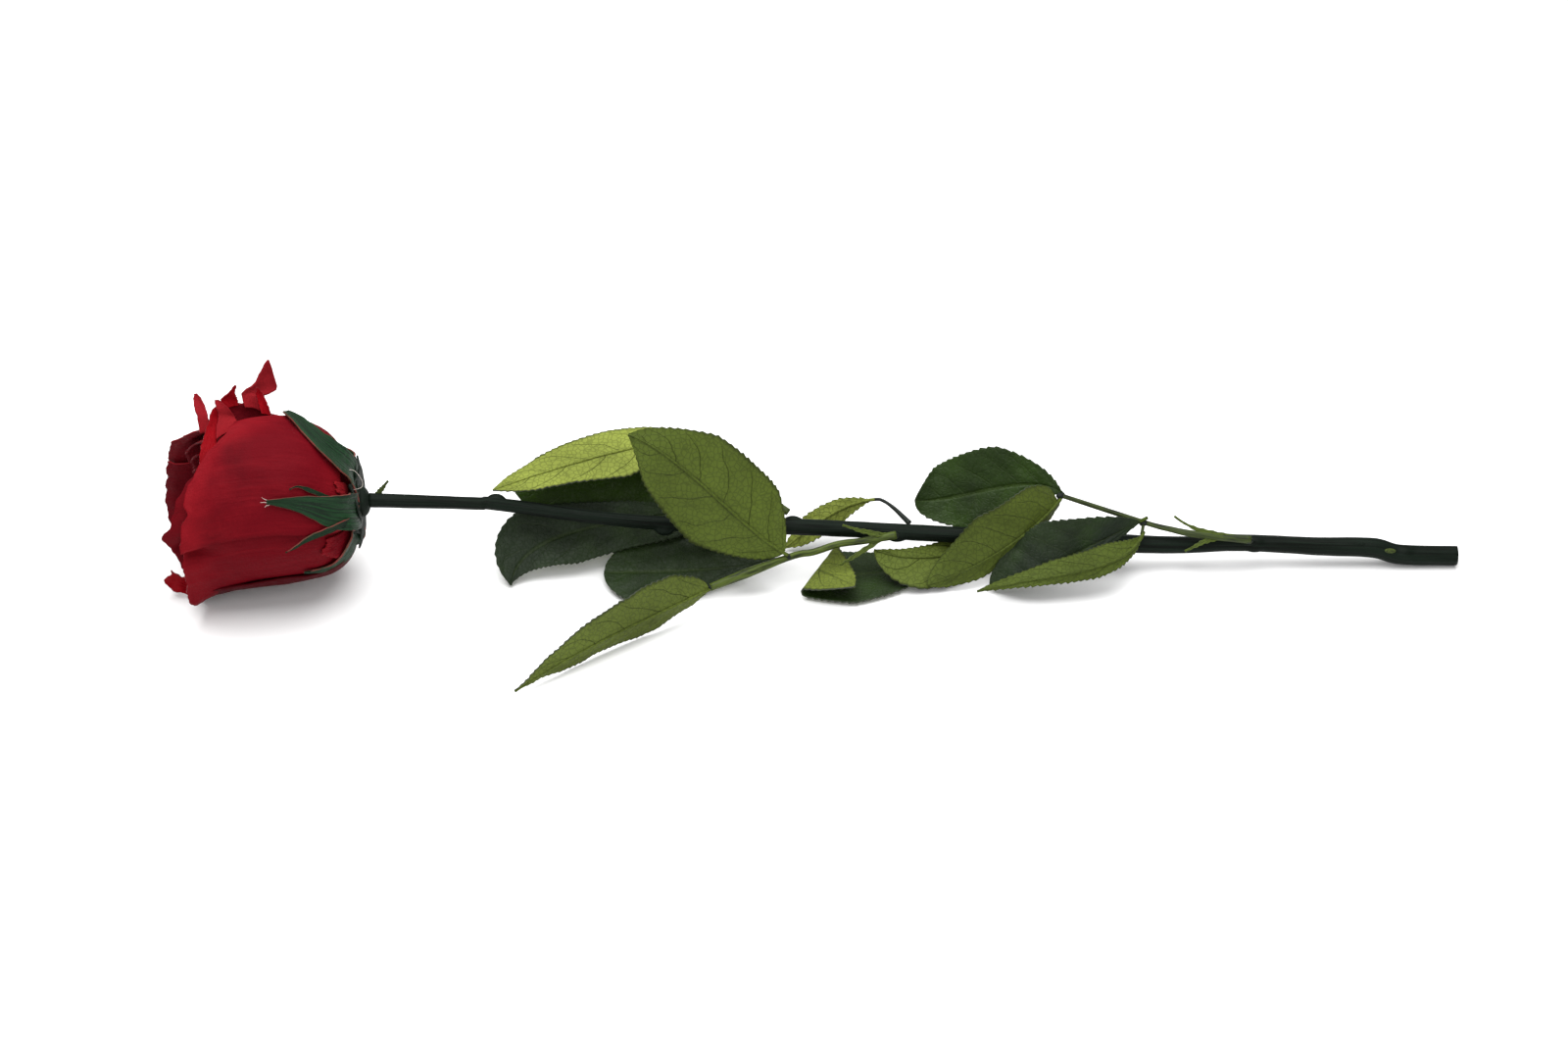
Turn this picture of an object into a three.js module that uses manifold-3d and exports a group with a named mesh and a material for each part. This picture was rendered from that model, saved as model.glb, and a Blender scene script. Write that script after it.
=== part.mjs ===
// Preserved stemmed rose, lying on its side. Millimetres, +Z up, bloom at -X, cut stem end at +X.
// The bloom is a cup of layered petals, held by five sepals. Four compound leaves grow from the stem.
import * as THREE from "three";
import { mergeVertices } from "three/addons/utils/BufferGeometryUtils.js";
import Module from "manifold-3d";

const wasm = await Module();
wasm.setup();

// Whole rose
const SHIFT = [-10.8, 21.9, 0];

// Stem: points on its centre line, and its radius at each of them
const STEM_LINE = [
  [-141, -8.6, 32.2], [-121, -7, 30.4], [-104, -5.4, 28.6], [-97.6, -4.6, 27.8], [-49, -4, 20], [7, -1.5, 16],
  [40, -1.5, 14], [68, -1.5, 12.2], [129, -1.5, 8.6], [158, -0.5, 8.7], [184, -0.5, 7.3], [204, -0.5, 6.6],
  [214, -1, 4.1], [233.5, -1, 3.6],
];
const STEM_RADII = [2.5, 2.2, 2.3, 2.3, 2.6, 2.8, 2.8, 2.8, 3.0, 3.2, 2.9, 3.0, 3.5, 3.4];
// Knots where leaves or thorns grew: centre and radius; the bract is a small blade near the bloom
const STEM_KNOTS = [
  [-98.5, -3.8, 29.2, 2], [-41, -5.4, 17.6, 2], [3, -0.4, 17.4, 2.2], [39, -2.6, 13.4, 2.4], [163, -1.2, 8.6, 2.9],
  [199, -0.2, 8.4, 1.9], [215, -1.4, 4.6, 3.2],
];
const BRACT = [[-139.4, -7.4, 32.6], [-137.6, -6.6, 34.2], [-136, -5.8, 36], [-134.5, -5, 37.7]];
const STEM_SIDES = 10;
const STEM_STEPS = 44;

// Bloom: the calyx point, the way the mouth faces, and the cup that the outer petals follow
const BLOOM_BASE = [-145.8, -8.8, 31.6];
const BLOOM_AXIS = [-0.99, -0.06, -0.07];
const CUP_RADIUS = 27.5;
const CUP_BULGE = 4.6;
const CUP_WIDEST = 36;
const CUP_LENGTH = 58;
const CUP_CLOSING = 0.1;
const CUP_SQUARENESS = 3;
const PETAL_THICKNESS = 0.9;
const LEAF_THICKNESS = 0.7;
const SEPAL_THICKNESS = 0.8;
const TOOTH_SIZE = 0.7;
const PETAL_OVERREACH = 100;

const vector = ([x, y, z]) => new THREE.Vector3(x, y, z);
const radians = THREE.MathUtils.degToRad;
const mix = THREE.MathUtils.lerp;

// Thin closed sheet round the surface pointAt(u, v), with u and v from 0 to 1
function sheet(pointAt, columns, rows, thickness) {
  const middle = [];
  for (let row = 0; row <= rows; row += 1) {
    for (let column = 0; column <= columns; column += 1) {
      middle.push(pointAt(column / columns, row / rows, column, row));
    }
  }
  const at = (column, row) => row * (columns + 1) + column;
  const half = middle.length;
  const positions = new Float32Array(half * 2 * 3);
  for (let row = 0; row <= rows; row += 1) {
    for (let column = 0; column <= columns; column += 1) {
      const left = middle[at(Math.max(column - 1, 0), row)];
      const right = middle[at(Math.min(column + 1, columns), row)];
      const below = middle[at(column, Math.max(row - 1, 0))];
      const above = middle[at(column, Math.min(row + 1, rows))];
      const along = above.clone().sub(below);
      const normal = right.clone().sub(left).cross(along).setLength(thickness / 2);
      const index = at(column, row);
      middle[index].clone().add(normal).toArray(positions, index * 3);
      middle[index].clone().sub(normal).toArray(positions, (index + half) * 3);
    }
  }
  const faces = [];
  for (let row = 0; row < rows; row += 1) {
    for (let column = 0; column < columns; column += 1) {
      const a = at(column, row);
      const b = at(column + 1, row);
      const c = at(column + 1, row + 1);
      const d = at(column, row + 1);
      faces.push(a, b, c, a, c, d);
      faces.push(a + half, c + half, b + half, a + half, d + half, c + half);
    }
  }
  const rim = [];
  for (let column = 0; column < columns; column += 1) rim.push(at(column, 0));
  for (let row = 0; row < rows; row += 1) rim.push(at(columns, row));
  for (let column = columns; column > 0; column -= 1) rim.push(at(column, rows));
  for (let row = rows; row > 0; row -= 1) rim.push(at(0, row));
  rim.forEach((p, i) => {
    const q = rim[(i + 1) % rim.length];
    faces.push(p + half, q + half, q, p + half, q, p);
  });
  const geometry = new THREE.BufferGeometry();
  geometry.setAttribute("position", new THREE.BufferAttribute(positions, 3));
  geometry.setIndex(faces);
  return geometry;
}

// Round rod along a curve, closed at both ends, with radiusAt(t) for t from 0 to 1
function rod(curve, radiusAt, sides, steps) {
  const geometry = new THREE.CylinderGeometry(1, 1, 1, sides, steps);
  geometry.deleteAttribute("normal");
  geometry.deleteAttribute("uv");
  const frames = curve.computeFrenetFrames(steps, false);
  const position = geometry.getAttribute("position");
  for (let i = 0; i < position.count; i += 1) {
    const step = Math.round((position.getY(i) + 0.5) * steps);
    const radius = radiusAt(step / steps);
    const point = curve.getPointAt(step / steps);
    point.addScaledVector(frames.binormals[step], position.getX(i) * radius);
    point.addScaledVector(frames.normals[step], position.getZ(i) * radius);
    position.setXYZ(i, point.x, point.y, point.z);
  }
  return mergeVertices(geometry, 1e-3);
}

const smoothCurve = (points) => new THREE.CatmullRomCurve3(points.map(vector), false, "catmullrom", 0.5);

// Cubic curve that passes its four points at equal steps
function curveThrough(points) {
  const [a, b, c, d] = points.map(vector);
  const blend = (wa, wb, wc, wd) =>
    new THREE.Vector3()
      .addScaledVector(a, wa / 6)
      .addScaledVector(b, wb / 6)
      .addScaledVector(c, wc / 6)
      .addScaledVector(d, wd / 6);
  return new THREE.CubicBezierCurve3(a, blend(-5, 18, -9, 2), blend(2, -9, 18, -5), d);
}

function solidOf(geometry) {
  const merged = mergeVertices(geometry, 1e-4);
  return new wasm.Manifold(
    new wasm.Mesh({
      numProp: 3,
      vertProperties: new Float32Array(merged.getAttribute("position").array),
      triVerts: new Uint32Array(merged.getIndex().array),
    }),
  );
}

function geometryOf(solid) {
  const mesh = solid.getMesh();
  const geometry = new THREE.BufferGeometry();
  geometry.setAttribute("position", new THREE.BufferAttribute(mesh.vertProperties, 3));
  geometry.setIndex(new THREE.BufferAttribute(mesh.triVerts, 1));
  return geometry;
}

// Joins closed geometries in one body, and drops loose scraps
function fuse(geometries) {
  const joined = geometries.map(solidOf).reduce((whole, next) => whole.add(next));
  const bodies = joined.decompose();
  bodies.sort((one, other) => other.volume() - one.volume());
  return bodies[0];
}

// Leaflet: four points of its midrib, the way across it towards its right-hand margin at base and tip,
// the half widths of its left and right halves, and how far the halves fold up and curl
function leafletPoint(leaf, u, v, tooth) {
  const side = 2 * u - 1;
  const centre = leaf.curve.getPoint(v);
  const tangent = leaf.curve.getTangent(v);
  const across = vector(leaf.across[0]).lerp(vector(leaf.across[1]), v);
  across.addScaledVector(tangent, -across.dot(tangent)).normalize();
  const up = across.clone().cross(tangent);
  const skew = Math.log(0.5) / Math.log(side < 0 ? leaf.widest[0] : leaf.widest[1]);
  const ends = leaf.ends ?? [0.8, 0.8];
  const outline = Math.sin(Math.PI * v ** skew) ** mix(ends[0], ends[1], v);
  const halfWidth = side < 0 ? leaf.halfWidths[0] : leaf.halfWidths[1];
  const reach = Math.abs(side) * Math.max(outline * halfWidth + tooth, 0.5);
  const fold = side < 0 ? leaf.folds[0] : leaf.folds[1];
  const angle = radians(fold);
  const wave = (leaf.wave ?? 0) * outline * side * side * Math.sin(2 * Math.PI * (2 * v + 0.3 * side));
  centre.addScaledVector(across, Math.sign(side) * reach * Math.cos(angle));
  centre.addScaledVector(up, reach * Math.sin(angle) + wave);
  return leaf.crease ? foldOver(centre, leaf.crease) : centre;
}

// Folds what lies to the left of an upright crease line back over the rest, round a small radius
function foldOver(point, crease) {
  const direction = new THREE.Vector3(...crease.along, 0).normalize();
  const outward = new THREE.Vector3(-direction.y, direction.x, 0);
  const start = new THREE.Vector3(...crease.at, 0);
  const past = point.clone().sub(start).dot(outward);
  if (past <= 0) return point;
  const bend = Math.min(past / crease.radius, radians(crease.angle));
  const rest = past - bend * crease.radius;
  const away = crease.radius * Math.sin(bend) + rest * Math.cos(bend);
  const rise = crease.radius * (1 - Math.cos(bend)) + rest * Math.sin(bend);
  return point.addScaledVector(outward, away - past).add(new THREE.Vector3(0, 0, rise));
}

function leafletGeometry(leaf) {
  const columns = 4;
  const rows = leaf.rows ?? 18;
  const shape = { ...leaf, curve: curveThrough(leaf.midrib) };
  const tooth = (column, row) =>
    (column === 0 || column === columns) && row % 2 === 1 && row > 2 && row < rows - 2 ? TOOTH_SIZE : 0;
  return sheet((u, v, column, row) => leafletPoint(shape, u, v, tooth(column, row)), columns, rows, LEAF_THICKNESS);
}

// Leaflets, in groups by the compound leaf that they belong to
const LEAFLETS = {
  leaf_front_terminal: {
    midrib: [[-25.6, -28, 9.2], [-47, -45.7, 9.3], [-68, -60.8, 7.1], [-88.4, -74.4, 1.6]],
    across: [[-0.05, 0.73, -0.68], [-0.05, 0.85, -0.5]],
    halfWidths: [12.2, 8.6], folds: [50, -28], wave: 0.5, widest: [0.34, 0.4], ends: [0.8, 1.1],
  },
  leaf_front_upright: {
    midrib: [[0, -16, 15.4], [-15.9, -15, 29.8], [-33.9, -13, 48], [-52.1, -9, 59.2]],
    across: [[-0.62, -0.45, -0.64], [-0.62, -0.45, -0.64]],
    halfWidths: [18, 17], folds: [4, 8], wave: 0.8, widest: [0.44, 0.5], ends: [0.8, 0.9],
  },
  leaf_front_flat: {
    midrib: [[0.1, -14.2, 12.6], [-20, -13, 6.8], [-41, -12, 4.6], [-62, -11.5, 3.6]],
    across: [[0, 0.93, 0.36], [0, 0.93, 0.3]],
    halfWidths: [14.5, 15], folds: [9, 4], wave: 0.4, widest: [0.68, 0.55], ends: [1, 0.65],
  },
  leaf_back_terminal: {
    midrib: [[-29, 22, 35.6], [-49, 17, 37], [-75.6, 6.5, 35.6], [-99.5, -2.1, 31.6]],
    across: [[-0.25, -0.85, -0.15], [-0.25, -0.85, -0.15]],
    halfWidths: [13, 14], folds: [8, 10], wave: 0.6, widest: [0.5, 0.5],
  },
  leaf_back_upper: {
    midrib: [[-22, 12.4, 31], [-46, 22, 28.5], [-70, 19, 27], [-93, 8, 24]],
    across: [[0, 0.9, 0.42], [0, 0.9, 0.42]],
    halfWidths: [9, 11], folds: [8, 8], wave: 0.5, widest: [0.55, 0.6],
  },
  leaf_back_lower: {
    midrib: [[-20, 8, 20.5], [-45.5, 5, 16], [-76.7, -1, 12], [-94, -15.5, 1.5]],
    across: [[0, 0.6, 0.7], [-0.6, 0.6, 0.6]],
    halfWidths: [11, 13.6], folds: [8, 6], wave: 0.5, widest: [0.56, 0.66], ends: [0.8, 0.7],
  },
  leaf_right_terminal: {
    midrib: [[95.2, 7, 24], [82, 10.5, 25.5], [62.4, 14, 18.7], [45.7, 14, 16.6]],
    across: [[0, 0.5, 0.8], [0, 0.5, 0.8]],
    halfWidths: [13, 14.6], folds: [8, 8], wave: 0.5, widest: [0.5, 0.57], ends: [1.8, 0.65],
  },
  leaf_right_over: {
    midrib: [[94.4, 3.3, 23.3], [85.7, -8, 18.2], [70.5, -14.3, 10], [49.2, -18, 3.4]],
    across: [[0.5, 0.3, -0.75], [0.2, -0.4, -0.5]],
    halfWidths: [16, 6.5], folds: [10, 20], wave: 0.4, widest: [0.5, 0.5],
  },
  leaf_right_under: {
    midrib: [[95.5, 8, 20], [84, 7, 8.4], [58, -5, 6.6], [31, -7.5, 10.6]],
    across: [[0, -0.87, -0.45], [0, -0.87, -0.45]],
    halfWidths: [6, 11.4], folds: [0, 0], wave: 0.2, widest: [0.6, 0.8], ends: [1.6, 0.8],
  },
  leaf_right_dark: {
    midrib: [[122.5, -1.7, 18.4], [98, -14, 12.5], [83, -18, 7], [70.5, -17.5, 2.6]],
    across: [[0.5, 0.6, 0.6], [0.2, 0.6, 0.6]],
    halfWidths: [3.5, 11], folds: [10, 10], wave: 0.3, widest: [0.4, 0.36], ends: [0.8, 1.3],
  },
  leaf_right_light: {
    midrib: [[123, -4.8, 14.6], [110.2, -18, 11.2], [90, -23, 8.4], [66, -22.5, 4]],
    across: [[0.2, -0.5, -0.7], [0.1, -0.5, -0.6]],
    halfWidths: [8, 4.5], folds: [20, 5], wave: 0.3, widest: [0.4, 0.4], ends: [1.2, 0.8],
  },
  leaf_small_light: {
    midrib: [[30.7, 13, 17.4], [19.6, 12.5, 13.5], [9.5, 9.5, 8], [0.3, 6.5, 1.6]],
    across: [[0.3, -0.6, -0.6], [0.3, -0.6, -0.6]],
    halfWidths: [5, 5], folds: [10, 10], wave: 0.2, widest: [0.55, 0.55],
  },
  leaf_small_folded: {
    midrib: [[54.2, -2.8, 2.4], [32, -9, 1.8], [10, -10, 1.6], [-11, -10, 1.6]],
    across: [[0, 1, 0], [0, 1, 0]],
    halfWidths: [15.5, 14], folds: [0, 0], wave: 0, widest: [0.5, 0.5], rows: 28,
    crease: { at: [13.5, -10], along: [0.42, 0.907], radius: 1.8, angle: 168 },
  },
};

// Distance from the axis and distance along it, for s from 0 at the calyx to 1 at the rim of the cup
function cup(s) {
  const turn = 0.6;
  if (s < turn) {
    const angle = (s / turn) * (Math.PI / 2);
    const power = 2 / CUP_SQUARENESS;
    return [CUP_RADIUS * Math.sin(angle) ** power, CUP_WIDEST * (1 - Math.cos(angle) ** power)];
  }
  const rest = (s - turn) / (1 - turn);
  return [CUP_RADIUS * (1 - CUP_CLOSING * rest * rest), mix(CUP_WIDEST, CUP_LENGTH, rest)];
}

const axis = vector(BLOOM_AXIS).normalize();
const bloomUp = new THREE.Vector3(0, 0, 1).addScaledVector(axis, -axis.z).normalize();
const bloomFront = axis.clone().cross(bloomUp).negate();

// Point of the bloom at a distance along the axis and from it, with the angle from straight up
// towards the front
function bloomPoint(along, radius, angle) {
  const bulge = CUP_BULGE * Math.sin(Math.PI * THREE.MathUtils.clamp(along / CUP_LENGTH, 0, 1));
  return vector(BLOOM_BASE)
    .addScaledVector(axis, along)
    .addScaledVector(bloomUp, radius * Math.cos(angle) + bulge)
    .addScaledVector(bloomFront, radius * Math.sin(angle));
}

function petalPoint(petal, u, v) {
  const side = 2 * u - 1;
  const rounding = side < 0 ? petal.rounding[0] : petal.rounding[1];
  const top = petal.top - rounding * Math.abs(side) ** 2.4 + 0.012 * Math.sin(7 * side + petal.angle);
  const s = mix(petal.root, top, v);
  const [radius, along] = cup(s);
  const rim = Math.max(0, (s - 0.75) / 0.25);
  const flare = petal.flare * rim * rim * CUP_RADIUS;
  const ripple = petal.ripple * rim * Math.sin(5 * side + petal.angle);
  const distance = radius * petal.scale + petal.lift + petal.lean * side * Math.min(1, s * 2) + flare + ripple;
  const turn = petal.angle + petal.halfSpan * side * mix(petal.neck, 1, Math.min(1, s / 0.5));
  return bloomPoint(along, distance, radians(turn));
}

const OUTER_PETALS = [
  { angle: 34, halfSpan: 52, lift: 1.8, lean: 0.6, rounding: [0.4, 0.02], top: 0.88, flare: 0.06 },
  { angle: -48, halfSpan: 48, lift: 0, lean: -1.2, rounding: [0.1, 0.12], top: 0.95, flare: 0.1 },
  { angle: -125, halfSpan: 50, lift: 0, lean: -1.2, rounding: [0.12, 0.06], top: 1.0, flare: 0.1 },
  { angle: 168, halfSpan: 45, lift: 0, lean: -1.2, rounding: [0.06, 0.06], top: 0.98, flare: 0.16 },
  { angle: 112, halfSpan: 45, lift: 0, lean: -1.2, rounding: [0.05, 0.1], top: 0.95, flare: 0.16 },
];
// Torn tips that stand up from the rim: points of their left and right edges, root first
const TORN_TIPS = [
  {
    left: [[-181.6, 0, 60], [-182.5, 2, 65.8], [-181.6, 3, 69.1], [-177.9, 5, 70.9], [-176.4, 7, 73.9], [-173.8, 9, 77.2]],
    right: [[-175.6, -1, 59.1], [-176, 1, 64.9], [-175.2, 3, 66.9], [-171.3, 6, 67.5], [-171.3, 7, 72.4], [-172.4, 9, 76.2]],
  },
  {
    left: [[-188.2, -2, 60.5], [-188.2, -1, 65], [-187, 0, 68.6], [-184.1, 1, 72.1]],
    right: [[-182.1, -1, 60.7], [-182.4, 0, 65.5], [-183.6, 0, 69.4], [-183.6, 1, 71.9]],
  },
  {
    left: [[-189.6, -6, 57.3], [-189.8, -5, 62.5], [-190, -4, 65.8], [-190.4, -3, 69]],
    right: [[-181.3, -8, 58.6], [-183.4, -6, 63.1], [-185.5, -5, 66.4], [-188.6, -4, 69.3]],
  },
  {
    left: [[-195.8, -17, 50.8], [-194.8, -10, 55.2], [-193.8, -5, 59], [-192, -2, 64.9]],
    right: [[-192.6, -18, 51.5], [-189.4, -12, 56.5], [-188.9, -8, 60.9], [-189.5, -4, 66.9]],
  },
  {
    left: [[-198.1, 2, 50.8], [-198.4, 3, 57.3], [-198.9, 4, 61.8], [-199, 5, 65.4]],
    right: [[-193.7, 0, 52.1], [-194.3, 2, 58.3], [-195.8, 4, 62.9], [-197.2, 5, 66.2]],
  },
  {
    left: [[-173.2, -3, 60.8], [-175.9, -2, 66], [-177, 0, 69.4], [-176.9, 1, 71.1]],
    right: [[-170.9, -3, 60.8], [-172.4, -3, 65.9], [-174.2, -1, 68.5], [-176.2, 1, 71.1]],
  },
  {
    left: [[-193, -19.5, 1.2], [-199, -21.5, 1], [-207.6, -20.5, 2.2], [-212, -19, 5.3]],
    right: [[-193, -20, 5.4], [-201, -20.5, 5.6], [-206.8, -19, 8.5], [-209.2, -18, 9.5]],
  },
];
const INNER_WHORLS = [
  { count: 5, scale: 0.86, root: 0.42, top: 1.02, halfSpan: 50, start: 60, columns: 6, rows: 4 },
  { count: 5, scale: 0.68, root: 0.5, top: 0.99, halfSpan: 52, start: 20, columns: 6, rows: 4 },
  { count: 4, scale: 0.48, root: 0.58, top: 0.97, halfSpan: 62, start: 45, columns: 6, rows: 4 },
  { count: 3, scale: 0.26, root: 0.62, top: 0.96, halfSpan: 80, start: 10, columns: 6, rows: 4 },
];
// The core fills the bottom of the cup and is closed by a low dome
const CORE_SCALE = 0.97;
const CORE_INSET = 0.3;
const CORE_DOME = [[21, 40], [11, 44], [0, 45]];

function petalSheet(petal, columns, rows) {
  const whole = { neck: 0.9, scale: 1, ripple: 0.5, root: 0.16, ...petal };
  return sheet((u, v) => petalPoint(whole, u, v), columns, rows, PETAL_THICKNESS);
}

function bloomCore() {
  const profile = [0, 0.1, 0.2, 0.3, 0.4, 0.5, 0.6].map((s) => {
    const [radius, along] = cup(s);
    return new THREE.Vector2(radius * CORE_SCALE, along * CORE_SCALE + CORE_INSET);
  });
  for (const [radius, along] of CORE_DOME) profile.push(new THREE.Vector2(radius, along));
  const geometry = new THREE.LatheGeometry(profile, 24);
  const position = geometry.getAttribute("position");
  for (let i = 0; i < position.count; i += 1) {
    const radius = Math.hypot(position.getX(i), position.getZ(i));
    const angle = Math.atan2(position.getZ(i), position.getX(i));
    bloomPoint(position.getY(i), radius, angle).toArray(position.array, i * 3);
  }
  geometry.deleteAttribute("normal");
  geometry.deleteAttribute("uv");
  return mergeVertices(geometry, 1e-3);
}

// Torn tip: a strip between its two edges, hollowed a little
function tipPoint(edges, u, v) {
  const left = edges.left.getPoint(v);
  const right = edges.right.getPoint(v);
  const hollow = 0.12 * left.distanceTo(right) * Math.sin(Math.PI * u);
  return left.lerp(right, u).add(new THREE.Vector3(0, hollow, 0));
}

function bloomGeometry() {
  const sheets = OUTER_PETALS.map((petal) => petalSheet(petal, 8, 9));
  for (const whorl of INNER_WHORLS) {
    for (let i = 0; i < whorl.count; i += 1) {
      const petal = {
        ...whorl, angle: whorl.start + (360 * i) / whorl.count, lift: 0, lean: 1.1,
        rounding: [0.06, 0.06], flare: 0.04,
      };
      sheets.push(petalSheet(petal, whorl.columns, whorl.rows));
    }
  }
  for (const tip of TORN_TIPS) {
    const edges = { left: smoothCurve(tip.left), right: smoothCurve(tip.right) };
    sheets.push(sheet((u, v) => tipPoint(edges, u, v), 2, 9, PETAL_THICKNESS));
  }
  // What would reach below the surface is cut off, which leaves a small flat spot to rest on
  const side = 2 * PETAL_OVERREACH;
  const floor = new THREE.BoxGeometry(side, side, side).translate(BLOOM_BASE[0], BLOOM_BASE[1], -side / 2);
  floor.deleteAttribute("normal");
  floor.deleteAttribute("uv");
  return geometryOf(fuse([bloomCore(), ...sheets]).subtract(solidOf(floor)));
}

// Sepals and their thin side lobes: place on the cup and angle at the root and at the tip
const SEPALS = [
  { from: [0.02, 30], to: [0.5, 2], halfWidth: 6.2, clearance: 3.4 },
  { from: [0.02, 71], to: [0.53, 59], halfWidth: 6.4, clearance: 3.4 },
  { from: [0.02, 134], to: [0.5, 146], halfWidth: 5.6, clearance: 2.2 },
  { from: [0.02, 205], to: [0.42, 205], halfWidth: 5.6, clearance: 2.2 },
  { from: [0.02, 285], to: [0.4, 280], halfWidth: 5.6, clearance: 2.2 },
  { from: [0.22, 76], to: [0.42, 92], halfWidth: 1.2, clearance: 3.4 },
  { from: [0.3, 60], to: [0.44, 49], halfWidth: 1, clearance: 3.4 },
];

// Point of the cup moved outward by a distance square to its surface
function outsideCup(s, distance) {
  const step = 0.01;
  const [radiusBefore, alongBefore] = cup(Math.max(s - step, 0));
  const [radiusAfter, alongAfter] = cup(s + step);
  const length = Math.hypot(radiusAfter - radiusBefore, alongAfter - alongBefore);
  const [radius, along] = cup(s);
  return [
    radius + (distance * (alongAfter - alongBefore)) / length,
    along - (distance * (radiusAfter - radiusBefore)) / length,
  ];
}

function sepalPoint(sepal, u, v) {
  const at = (t, extra) => {
    const s = mix(sepal.from[0], sepal.to[0], t);
    const [radius, along] = outsideCup(s, mix(1.7, sepal.clearance, Math.min(1, (s - 0.02) * 6)) + extra);
    return bloomPoint(along, radius, radians(mix(sepal.from[1], sepal.to[1], t)));
  };
  const point = at(v, 0);
  const outward = at(v, 1).sub(point);
  const onward = at(v + 0.02, 0).sub(point);
  const across = outward.cross(onward).normalize();
  const width = sepal.halfWidth * Math.min(1, 0.65 + 2 * v) * Math.max(1 - v, 0.03) ** 0.75;
  return point.addScaledVector(across, (1 - 2 * u) * width);
}

function calyxGeometry() {
  const sepals = SEPALS.map((sepal) => sheet((u, v) => sepalPoint(sepal, u, v), 2, 8, SEPAL_THICKNESS));
  const hip = new THREE.SphereGeometry(1, 14, 8);
  hip.deleteAttribute("normal");
  hip.deleteAttribute("uv");
  hip.scale(5.2, 5.2, 1.7);
  const turn = new THREE.Matrix4().makeBasis(bloomUp, axis.clone().cross(bloomUp), axis);
  hip.applyMatrix4(turn.setPosition(bloomPoint(-2.6, 0, 0)));
  return geometryOf(fuse([hip, ...sepals]));
}

// Stalks: points of the centre line and radii, with small blades (stipules) and side stalks fused to them
const STALKS = {
  leaf_front_stalk: {
    line: [[38.5, -6.2, 16], [27, -8, 14.8], [18.5, -10, 14.8], [10, -12.5, 13.3], [1.5, -15.5, 13.2], [-25, -27.6, 9.4]],
    radii: [1.5, 1.1, 1.0, 1.0, 1.2, 0.8],
    stipules: [
      [[36, -6.6, 16.2], [30, -7.6, 17.8], [25, -7.8, 19.4], [20, -7.4, 21]],
      [[34, -7, 15.4], [28, -9.8, 12.6], [23, -13, 11], [19.2, -16, 10.3]],
    ],
  },
  leaf_back_stalk: {
    line: [[1.5, 0.2, 21], [-8, 5, 26], [-21, 11.5, 32.5], [-28.4, 21.5, 35.5]],
    radii: [1.3, 1.0, 0.9, 0.7],
    branches: [[[-15, 8.4, 29.4], [-17.5, 8.4, 25.5], [-19.6, 8.2, 21.6]]],
  },
  leaf_right_stalk: {
    line: [[161, -3.6, 12.2], [142, -3.2, 14.2], [133, -1.5, 15.2], [123.9, 0, 17.1], [96.4, 5.5, 24.4]],
    radii: [1.5, 1.3, 0.9, 0.9, 0.8],
    stipules: [
      [[156, -3.7, 13.2], [148, -3.6, 14.8], [141, -2, 16.2], [134.5, 0, 19.6]],
      [[152, -3.6, 13.2], [146, -4.6, 12.6], [142, -6, 11.4], [138, -7.4, 10]],
    ],
    branches: [[[124, -0.2, 17], [123.6, -2.4, 16], [123.1, -4.3, 14.9]]],
  },
  leaf_small_stalk: {
    line: [[43.4, 2, 15.2], [38, 8, 17.5], [34, 12, 18], [31.2, 13, 17.6]],
    radii: [1.0, 0.8, 0.6, 0.6],
  },
  leaf_low_stalk: {
    line: [[49, 1.4, 11], [53, 4.2, 7.6], [56, 2.6, 3.4], [55.2, -2.2, 2.6]],
    radii: [1.0, 0.8, 0.7, 0.7],
  },
};

function radiusAlong(radii, t) {
  const place = t * (radii.length - 1);
  const first = Math.min(Math.floor(place), radii.length - 2);
  return mix(radii[first], radii[first + 1], place - first);
}

function stipuleGeometry(midrib) {
  const blade = {
    curve: curveThrough(midrib), across: [[0, 0.57, 0.82], [0, 0.57, 0.82]], halfWidths: [1.2, 1.2],
    folds: [10, 10], widest: [0.3, 0.3], ends: [0.3, 1],
  };
  return sheet((u, v) => leafletPoint(blade, u, v, 0), 2, 6, LEAF_THICKNESS);
}

function stalkGeometry(stalk) {
  const stick = rod(smoothCurve(stalk.line), (t) => radiusAlong(stalk.radii, t), 7, 14);
  const branches = (stalk.branches ?? []).map((line) => rod(smoothCurve(line), () => 0.6, 6, 4));
  const blades = (stalk.stipules ?? []).map(stipuleGeometry);
  return geometryOf(fuse([stick, ...branches, ...blades]));
}

function stemGeometry() {
  const stick = rod(smoothCurve(STEM_LINE), (t) => radiusAlong(STEM_RADII, t), STEM_SIDES, STEM_STEPS);
  const knots = STEM_KNOTS.map(([x, y, z, radius]) => {
    const knot = new THREE.SphereGeometry(radius, 8, 6);
    knot.deleteAttribute("normal");
    knot.deleteAttribute("uv");
    return knot.scale(1.6, 1, 1).translate(x, y, z);
  });
  return geometryOf(fuse([stick, ...knots, stipuleGeometry(BRACT)]));
}

const petalRed = new THREE.MeshStandardMaterial({ color: "#8c1820", roughness: 0.7, metalness: 0 });
const sepalGreen = new THREE.MeshStandardMaterial({ color: "#24502c", roughness: 0.6, metalness: 0 });
const leafGreen = new THREE.MeshStandardMaterial({ color: "#6f8038", roughness: 0.6, metalness: 0 });
const stemGreen = new THREE.MeshStandardMaterial({ color: "#26382a", roughness: 0.45, metalness: 0 });

const rose = new THREE.Group();
rose.position.set(...SHIFT);

function place(name, geometry, material) {
  const mesh = new THREE.Mesh(geometry, material.clone());
  mesh.name = name;
  rose.add(mesh);
}

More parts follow.
